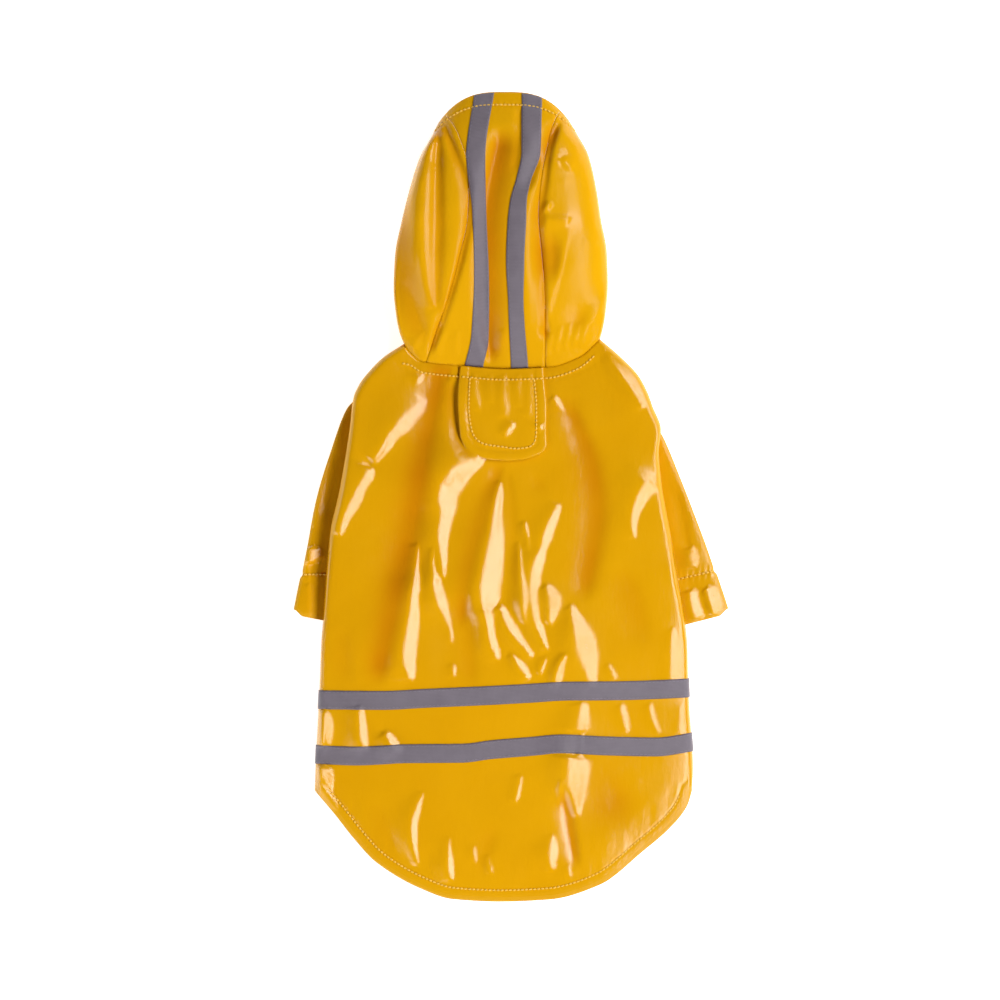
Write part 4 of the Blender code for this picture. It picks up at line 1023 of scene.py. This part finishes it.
HOOD_CREASES = [
    Crease([(25.5, 222.4, 2.3, 0.08), (27.7, 216.8, 4.5, 0.08), (30.6, 210, 6.8, 0.08),
        (33.7, 204.3, 7.4, 0.08), (36.2, 198.7, 7.4, 0.08), (37.9, 193, 5.7, 0.08),
        (37.4, 186.8, 5.1, 0.08), (36.5, 180.6, 2.8, 0.08)], 1.4, (1, 0.5)),
    Crease([(-41.3, 212.2, 1.7, 0.8), (-43.6, 207.2, 3.4, 0.8), (-46.1, 201.5, 4.5, 0.74),
        (-48.4, 195.8, 4, 0.27), (-50.4, 190.7, 2.3, 0.11)], 1.6, (-1, 0.5)),
    Crease([(19.8, 226.4, 2.8, 0.52), (22.1, 222.4, 4.5, 0.14),
        (24.3, 217.9, 2.8, 0.08)], 1.3, (1, 0.8)),
    Crease([(-43, 206.6, 4, 0.78), (-45.3, 187.9, 6.8, 0.76), (-47, 165.3, 9.1, 0.59),
        (-47, 142.6, 9.1, 0.45), (-44.7, 122.8, 6.2, 0.37), (-41.9, 105.8, 2.3, 0.53)], 1.3),
    Crease([(-25.5, 150, 1.1, 0.09), (-27.7, 139.8, 1.7, 0.18), (-30.6, 127.3, 2, 0.42),
        (-35.1, 111.5, 1.7, 0.61), (-39.1, 95.7, 1.1, 0.73)], 1.3),
    Crease([(-48.7, 93.4, 1.7, 0.22), (-51.5, 87.2, 2.8, 0.22),
        (-55.5, 81.5, 2.3, 0.22)], 1.3, (1, 0.5)),
    Crease([(-35.7, 93.4, 2.3, 0.18), (-38.5, 85.5, 3.4, 0.18), (-40.2, 77.5, 2.3, 0.18)], 1.3),
    Crease([(-28.9, 94.5, 1.7, 0.18), (-29.4, 86.6, 2.8, 0.18), (-30, 78.7, 2.3, 0.18)], 1.3),
    Crease([(16.4, 185.1, 2.8, 0.18), (13, 168.1, 4.5, 0.18), (10.2, 145.5, 4.5, 0.18),
        (10.8, 117.2, 4, 0.18), (12.5, 94.5, 2.8, 0.18)], 1.6),
    Crease([(-2.3, 94.5, 2.3, 0.2), (-4.5, 85.5, 4.5, 0.2), (-7.9, 76.4, 5.1, 0.2)], 1.6),
    Crease([(28.3, 217.9, 1.7, 0.3), (25.5, 206.6, 2.3, 0.3), (22.1, 193.6, 2.3, 0.3),
        (20.4, 187.9, 1.7, 0.3)], 1.3, (1, 0.4)),
    Crease([(20.4, 190.7, 1.7, 0.24), (23.8, 187.3, 2.3, 0.24),
        (27.7, 184.5, 1.7, 0.24)], 1.2, (1, -1)),
    Crease([(26.6, 189, 1.7, 0.26), (30, 186.2, 2.8, 0.26), (34, 181.7, 1.7, 0.26)], 1.2, (1, -1)),
    Crease([(31.7, 181.7, 2.3, 0.07), (32.8, 178.3, 3.4, 0.07),
        (34, 175.5, 1.7, 0.07)], 1.2, (1, 0.3)),
    Crease([(19.2, 166.4, 1.7, 0.49), (21.5, 164.7, 3.4, 0.49),
        (23.8, 163, 1.7, 0.49)], 1.3, (1, -0.6)),
    Crease([(18.1, 157.9, 2.3, 0.34), (23.8, 157.3, 3.4, 0.34), (29.4, 157.3, 3.4, 0.34),
        (34.5, 156.2, 2.3, 0.34)], 1.2, (0, 1)),
    Crease([(36.8, 156.8, 1.7, 0.08), (34, 148.9, 2.3, 0.12), (31.1, 138.7, 2.3, 0.31),
        (28.9, 128.5, 2.3, 0.44), (25.5, 117.2, 2.3, 0.3), (22.1, 105.8, 2.3, 0.45),
        (19.8, 93.4, 1.7, 0.69)], 2.6),
    Crease([(40.2, 146.6, 1.7, 0.2), (44.7, 144.9, 2.8, 0.2),
        (49.8, 142.1, 1.7, 0.2)], 1.4, (1, 1)),
    Crease([(54.3, 111.5, 2.3, 0.28), (49.8, 101.3, 4.5, 0.28), (44.7, 92.3, 4.5, 0.28),
        (41.3, 83.2, 2.8, 0.28)], 1.6, (1, -0.5)),
    Crease([(29.4, 96.8, 1.7, 0.32), (27.7, 88.9, 2.3, 0.32), (26, 80.9, 1.7, 0.32)], 1.2),
    Crease([(34.5, 97.9, 1.7, 0.32), (32.8, 89.4, 2.3, 0.32), (31.1, 82.1, 1.7, 0.32)], 1.2),
    Crease([(39.6, 98.5, 1.7, 0.32), (37.4, 90, 2.3, 0.32), (35.7, 83.2, 1.7, 0.32)], 1.2),
    Crease([(23.8, 92.8, 1.7, 0.32), (22.6, 85.5, 2.3, 0.32), (21.5, 78.7, 1.7, 0.32)], 1.2),
]
HOOD_TROUGHS = [
    Trough([(-9.6, 73, 3.4), (-11.9, 86, 5.1), (-13, 97.4, 6.8), (-14.1, 120, 8.5),
        (-14.1, 148.3, 8.5), (-11.9, 170.4, 7.9), (-7.9, 190.7, 7.4), (-4, 211.1, 6.8)], -4.6),
    Trough([(-39.1, 212.8, 2.3), (-31.1, 193.6, 2.8), (-24.9, 173.8, 3.4), (-23.8, 156.2, 3.4),
        (-26.6, 139.8, 2.8), (-34.5, 112.6, 2.8), (-41.3, 92.3, 2.3), (-45.8, 79.8, 1.7)], -2.2),
    Trough([(26.6, 211.1, 2.3), (21.5, 193.6, 2.3), (18.7, 173.8, 2.8), (15.8, 155.6, 3.4),
        (17, 133, 3.4), (18.1, 111.5, 2.8), (19.8, 86, 2.3)], -2.3),
    Trough([(19.2, 152.3, 4), (22.6, 143.2, 6.8), (23.2, 134.1, 6.8), (21.5, 117.2, 4.5)], -3.0),
    Trough([(28.9, 215.6, 2.8), (23.8, 206, 4), (19.2, 196.4, 4.5), (14.7, 186.8, 4.5),
        (10.8, 177.7, 4), (7.4, 169.2, 2.8)], -2.4),
    Trough([(42.4, 111.5, 5.1), (39.1, 101.3, 5.7), (34.5, 88.9, 4)], -1.6),
    Trough([(47, 100.2, 2.3), (43.6, 90, 2.3)], -0.8),
    Trough([(-35.7, 209.4, 2.8), (-33.4, 203.2, 3.4)], -0.7),
    Trough([(-42.4, 219, 2.3), (-40.2, 190.7, 3.4), (-40.2, 159.6, 4), (-41.3, 125.7, 4.5),
        (-43.6, 101.3, 3.4)], -1.9),
    Trough([(-60.6, 173.8, 3.4), (-60.6, 148.3, 6.8), (-58.3, 120, 10.2), (-52.6, 97.4, 7.9),
        (-47, 83.2, 4.5)], -2.4),
    Trough([(5.1, 222.4, 1.7), (4.5, 202.1, 2.3), (1.7, 179.4, 2.3)], -1.0),
]


def hood_form(across, along):
    """Outer face of the hood without its creases."""
    at = {name: track(HOOD, name, along) for name in Hood._fields[1:]}
    side = {"fold": at["fold"], "under": 0.0, "seam_z": 0.0, "turn": at["turn"]}
    x, z = section(across, dict(side, edge=at["left"], seam_x=at["hem_l"]),
                   dict(side, edge=at["right"], seam_x=at["hem_r"]), at["crown"],
                   blend(arch(across, *BACK_ARCH), arch(across, *HOOD_ARCH), ease(along / 0.3)))
    share = (np.clip(across, -1, 1) + 1) / 2
    bow = 1 - np.abs(np.clip(across, -1, 1)) ** BRIM_BOW_POWER
    top_y = blend(neck_y(blend(NECK_SEAM[0].x, NECK_SEAM[-1].x, share)),
                  BRIM_SIDE_Y + BRIM_BOW * bow, along)
    level = blend(np.where(across < 0, NECK_SEAM[0].y, NECK_SEAM[-1].y), BRIM_SIDE_Y, along)
    y = np.where(np.abs(across) > 1, level, top_y)
    return x, y + throat_shift(x, across, along) + SEAM_HALF, z


def hood_across(x, along):
    """Place across the top of the hood that has this x."""
    left, right = track(HOOD, "left", along), track(HOOD, "right", along)
    return 2 * (x - left) / (right - left) - 1


def hood_point(across, along):
    """Outer face of the hood with its creases, seam grooves and turned brim."""
    x, y, z = hood_form(across, along)
    top = ease((1.0 - np.abs(across)) / 0.06)
    waves = 0.10 * ripple(x, y, 50, 7) + 0.02 * ripple(x, y, 13, 8)
    brim, neck = (1 - along) * HOOD_LENGTH, along * HOOD_LENGTH
    seams = [np.abs(x - track(HOOD, name, along)) for name in ("seam_l", "seam_r")]
    folds = relief(HOOD_CREASES, HOOD_TROUGHS, x, y) + waves
    z = z + folds * top * ease(neck / 3) * blend(0.3, 1.0, ease(brim / 14))
    sewn = (np.abs(across) < 1) * (
        -SEAM_DIP * bell(neck, SEAM_DIP_WIDTH) - 0.45 * bell(np.minimum(*seams), 0.9)
        + turned_hem(brim, BRIM_DEPTH, 0.2, 0.22)
        + 0.10 * np.sin(x * 1.7) * bell(brim - BRIM_DEPTH, 3.0))
    return x, y, z + sewn


def hood_seam(name, along, shift):
    """Place across the hood of a seam of its strip, moved a little in x."""
    return hood_across(track(HOOD, name, along) + shift, along)


def hood_strip(share, along):
    return hood_point(blend(hood_seam("seam_l", along, SEAM_HALF),
                            hood_seam("seam_r", along, -SEAM_HALF), share), along)


def hood_left(place, along):
    inner = blend(-1.0, hood_seam("seam_l", along, -SEAM_HALF), place)
    return hood_point(np.where(place < 0, place - 1, inner), along)


def hood_right(place, along):
    inner = blend(hood_seam("seam_r", along, SEAM_HALF), 1.0, place)
    return hood_point(np.where(place > 1, place, inner), along)


HOOD_GLOSSY = [
    (34, 204, 11, 19, 0.5), (-46, 203, 8, 12, 0.8), (-47, 165, 9, 46, 0.3),
    (33, 156, 16, 6, 0.6), (24, 190, 10, 4, 0.5),
]
# The hood's painted shade is full in a trough this deep.
HOOD_SHADE_DEPTH = 4.6                  # depth of a trough that shades the cloth fully


def hood_worn(point):
    """The handled hood has lost most of its gloss, but for a few places on its sides."""
    def worn(place, along):
        x, y, _ = point(place, along)
        dull = 0.94 * (1 - np.clip(1.3 * patches(x, y, HOOD_GLOSSY), 0, 1))
        return np.maximum(bell((1 - along) * HOOD_LENGTH, 2.5), dull)
    return worn


# Painted shade of the hood: its colour darkens with the depth of its troughs.
def hood_painted_shade(point):
    def painted_shade(place, along):
        x, y, _ = point(place, along)
        return np.clip(relief([], HOOD_TROUGHS, x, y) / -HOOD_SHADE_DEPTH, 0, 1) ** 1.3
    return painted_shade


hood_cloth = make_glossy_cloth("coated_cloth_handled", 0.08, 0.42, 0.06)
beyond = under_columns(7, 20)
inner = np.linspace(0, 1, 41)
hood_pieces = [
    ("centre", "hood_centre", np.linspace(0, 1, 67), hood_strip, (66, 150)),
    ("left", "hood_side_left", np.concatenate((1 - beyond[::-1], inner)), hood_left, (66, 140)),
    ("right", "hood_side_right", np.concatenate((inner, beyond)), hood_right, (66, 140)),
]
for name, node, columns, point, size in hood_pieces:
    lay_cloth("coat_hood_" + name, node, columns, np.linspace(0, 1, 161), point, size, hood_cloth,
              cloth_backing, worn=hood_worn(point), painted_shade=hood_painted_shade(point))

stitches = bmesh.new()
brim_across = np.linspace(-0.97, 0.97, 260)
brim_along = np.full_like(brim_across, 1 - BRIM_DEPTH / HOOD_LENGTH)
sew(stitches, np.array(hood_point(brim_across, brim_along)).T)
thread_piece("stitching_brim", stitches)

# ---- Reflective tapes of the hood ------------------------------------------------------
# The same grey tape, sewn along the centre strip of the hood a little inside its seams,
# from under the neck seam to the turned brim.
HoodTape = namedtuple("HoodTape", "along middle half")
TAPE_HOOD_LEFT = [
    HoodTape(0.00, -21.0, 5.1), HoodTape(0.12, -17.4, 4.8), HoodTape(0.31, -16.6, 4.2),
    HoodTape(0.56, -17.8, 3.8), HoodTape(0.76, -19.8, 5.2), HoodTape(1.00, -15.0, 5.6),
]
TAPE_HOOD_RIGHT = [
    HoodTape(0.00, 4.9, 4.8), HoodTape(0.23, 2.8, 4.2), HoodTape(0.38, 2.4, 5.0),
    HoodTape(0.52, 3.3, 5.1), HoodTape(0.60, 4.2, 4.6), HoodTape(0.67, 6.8, 4.2),
    HoodTape(0.78, 11.2, 5.2), HoodTape(1.00, 11.8, 5.7),
]


def lay_hood_tape(name, node, line):
    def tape_point(edge, along):
        x = track(line, "middle", along) + edge * track(line, "half", along)
        return moved_out(hood_point, hood_across(x, along), along, TAPE_RISE)

    along = np.linspace(0.01, 0.99, 200)
    lay_tape(name, node, np.linspace(-1, 1, 13), np.linspace(0.002, 0.996, 161), tape_point,
             (TAPE_WIDTH, 150),
             [tape_point(np.full_like(along, edge), along) for edge in (-TAPE_SEAM, TAPE_SEAM)])


lay_hood_tape("tape_left", "tape_hood_left", TAPE_HOOD_LEFT)
lay_hood_tape("tape_right", "tape_hood_right", TAPE_HOOD_RIGHT)

# ---- Leash flap ------------------------------------------------------------------------
# A flap such as covers a leash hole: two layers of the cloth sewn and turned right side
# out, topstitched round the edge and gathered a little. It hangs from the neck seam and
# stands a little off the back.
FLAP_WALL = 0.9
FLAP_STANDS = 1.35      # from the back to the outer face of the flap
FLAP_DEPTH = 5.6        # from the edge of the flap to its topstitching
FlapSide = namedtuple("FlapSide", "along left right")
FLAP_SIDES = [
    FlapSide(0.0, -28.6, 18.3), FlapSide(0.2, -29.4, 19.0), FlapSide(0.5, -30.0, 20.1),
    FlapSide(0.8, -29.4, 19.9), FlapSide(1.0, -28.7, 20.3),
]
FLAP_HEM = [
    Point(-28.7, 34.5), Point(-26.6, 29.0), Point(-23.4, 25.2), Point(-19.0, 22.8),
    Point(-12.5, 21.0), Point(-2.0, 20.4), Point(6.0, 20.9), Point(13.6, 23.0),
    Point(18.2, 25.6), Point(20.3, 29.5),
]
FLAP_LIFT = [
    FlapSide(0.0, 0.1, 0.1), FlapSide(0.35, 1.1, 0.3), FlapSide(0.8, 1.3, 0.4),
    FlapSide(1.0, 1.0, 0.5),
]
FLAP_STITCHES = [
    Point(-23.2, 67.4), Point(-23.8, 50.9), Point(-22.1, 37.4), Point(-18.7, 31.7),
    Point(-13.6, 29.4), Point(-5.1, 28.3), Point(2.8, 27.2), Point(10.8, 28.3),
    Point(13.6, 31.7), Point(14.2, 37.4), Point(14.2, 50.9), Point(13.0, 66.8),
]
FLAP_CREASES = [
    Crease([(-20, 70, 2, 0.18), (-18.5, 60, 4, 0.2), (-17, 48, 2, 0.18)], 1.3),
    Crease([(-11, 70, 2, 0.16), (-10, 62, 4, 0.18), (-10, 52, 2, 0.16)], 1.3),
    Crease([(-3, 70, 2, 0.2), (-2.5, 58, 5, 0.23), (-2, 44, 3, 0.2)], 1.3),
    Crease([(5, 70, 2, 0.16), (5.5, 61, 4, 0.18), (6, 50, 2, 0.16)], 1.3),
    Crease([(11, 70, 2, 0.14), (11.5, 58, 3, 0.16), (11, 44, 3, 0.14)], 1.3),
    Crease([(-3.5, 32.5, 2, 0.3), (-1.5, 36, 3.5, 0.34), (1.5, 39.5, 3, 0.34),
        (3, 42, 2, 0.3)], 1.2),
    Crease([(16, 36, 2, 0.3), (17, 38.5, 3, 0.33), (18, 41.5, 2, 0.3)], 1.2),
]
flap_outline = smooth_line(
    [(-28.6, 74.0), (-29.9, 52.0), *FLAP_HEM, (20.0, 50.0), (18.3, 73.5)], 1.0)


def flap_point(share, along):
    x = blend(track(FLAP_SIDES, "left", along), track(FLAP_SIDES, "right", along), share)
    y = blend(neck_y(x) - SEAM_HALF * 2, track(FLAP_HEM, "y", x, by="x"), along)
    lift = blend(track(FLAP_LIFT, "left", along), track(FLAP_LIFT, "right", along), share)
    across, down = back_place(x, y)
    back_x, back_y, back_z = back_form(across, down)
    # Of the back's folds, only the first trough shows through the flap.
    shows = relief([], BACK_TROUGHS[:1], back_x, back_y)
    edge = np.abs(beside(x, y, flap_outline))
    sewn = (turned_hem(edge, FLAP_DEPTH, 0.16, 0.16, run=1.6) - 0.35 * bell(edge, 1.0)
            + 0.06 * np.sin((x + y) * 1.6) * bell(edge - FLAP_DEPTH, 2.5)
            - 0.2 * bell(neck_y(x) - y - NECK_STITCH, 1.0))
    folds = relief(FLAP_CREASES, [], x, y) + 0.12 * ripple(x, y, 16, 11)
    return x, y, back_z + shows + FLAP_STANDS + lift + folds + sewn


def flap_worn(share, along):
    """The edge of the flap is dull."""
    x, y, _ = flap_point(share, along)
    return 0.5 * bell(beside(x, y, flap_outline), 1.2)


cells = np.linspace(0, 1, 61)
flap = lay_cloth("coat_flap", "leash_flap", cells, cells[::-1], flap_point, (49, 53),
                 glossy_cloth, glossy_cloth, wall=FLAP_WALL, worn=flap_worn)


def on_flap(points):
    """Points of the outer face of the flap above (x, y)."""
    x, y = points[:, 0], points[:, 1]
    along = (neck_y(x) - y) / (neck_y(x) - track(FLAP_HEM, "y", x, by="x"))
    left, right = track(FLAP_SIDES, "left", along), track(FLAP_SIDES, "right", along)
    return np.array(flap_point((x - left) / (right - left), along)).T


stitches = bmesh.new()
sew(stitches, on_flap(smooth_line(FLAP_STITCHES, 1.0)))
sew(stitches, on_flap(below_neck(-28, 18, 60)))
flap_thread = thread_piece("stitching_flap", stitches)

# ---- Floor, light and camera -----------------------------------------------------------
# A plain white floor, and a camera that looks straight down. One long soft box high on the
# right draws the glints, and a low one beyond the tail on the left fills the shadows. The
# room is nearly dark.
CAMERA_HEIGHT = 3.0
FRAME_WIDTH = 0.566     # what the camera takes in across, at the floor
SENSOR = 36.0

mesh = bmesh.new()
bmesh.ops.create_grid(mesh, x_segments=1, y_segments=1, size=4)
white, white_shader, _ = new_finish("floor_white", (0.93, 0.93, 0.93), 0.8)
white_shader.inputs["Specular IOR Level"].default_value = 0.0
white_shader.inputs["Emission Color"].default_value = (1, 1, 1, 1)
white_shader.inputs["Emission Strength"].default_value = 0.82
floor = mesh_object("floor", mesh, white)
floor.location.z = -0.0003


def soft_box(name, zenith, azimuth, distance, size, radiance):
    """A soft box aimed at the coat; azimuth 0 is over +X, and size is radial then sideways."""
    zenith, azimuth = np.radians(zenith), np.radians(azimuth)
    light = bpy.data.lights.new(name, "AREA")
    light.shape = "RECTANGLE"
    light.size, light.size_y = size
    light.energy = radiance * np.pi * size[0] * size[1]
    lamp = bpy.data.objects.new(name, light)
    reach = np.sin(zenith)
    out = Vector((reach * np.cos(azimuth), reach * np.sin(azimuth), np.cos(zenith)))
    side = Vector((-np.sin(azimuth), np.cos(azimuth), 0))
    turned = Matrix((side.cross(out), side, out)).transposed().to_4x4()
    lamp.matrix_world = Matrix.Translation(out * distance) @ turned
    bpy.context.scene.collection.objects.link(lamp)


soft_box("soft_box_right", 38, 1, 3.0, (1.0, 4.9), 9.2)
soft_box("soft_box_low", 72, -134, 4.0, (2.0, 5.2), 3.9)

room = bpy.data.worlds.new("room")
room.use_nodes = True
room.node_tree.nodes["Background"].inputs["Color"].default_value = (1, 1, 1, 1)
room.node_tree.nodes["Background"].inputs["Strength"].default_value = 0.015
bpy.context.scene.world = room

lens = bpy.data.cameras.new("camera")
lens.sensor_width = SENSOR
lens.lens = SENSOR * CAMERA_HEIGHT / FRAME_WIDTH
lens.clip_end = 20.0
camera = bpy.data.objects.new("camera", lens)
camera.location = (-0.0062, -0.0017, CAMERA_HEIGHT)
bpy.context.scene.collection.objects.link(camera)
bpy.context.scene.camera = camera
bpy.context.scene.view_settings.view_transform = "Standard"
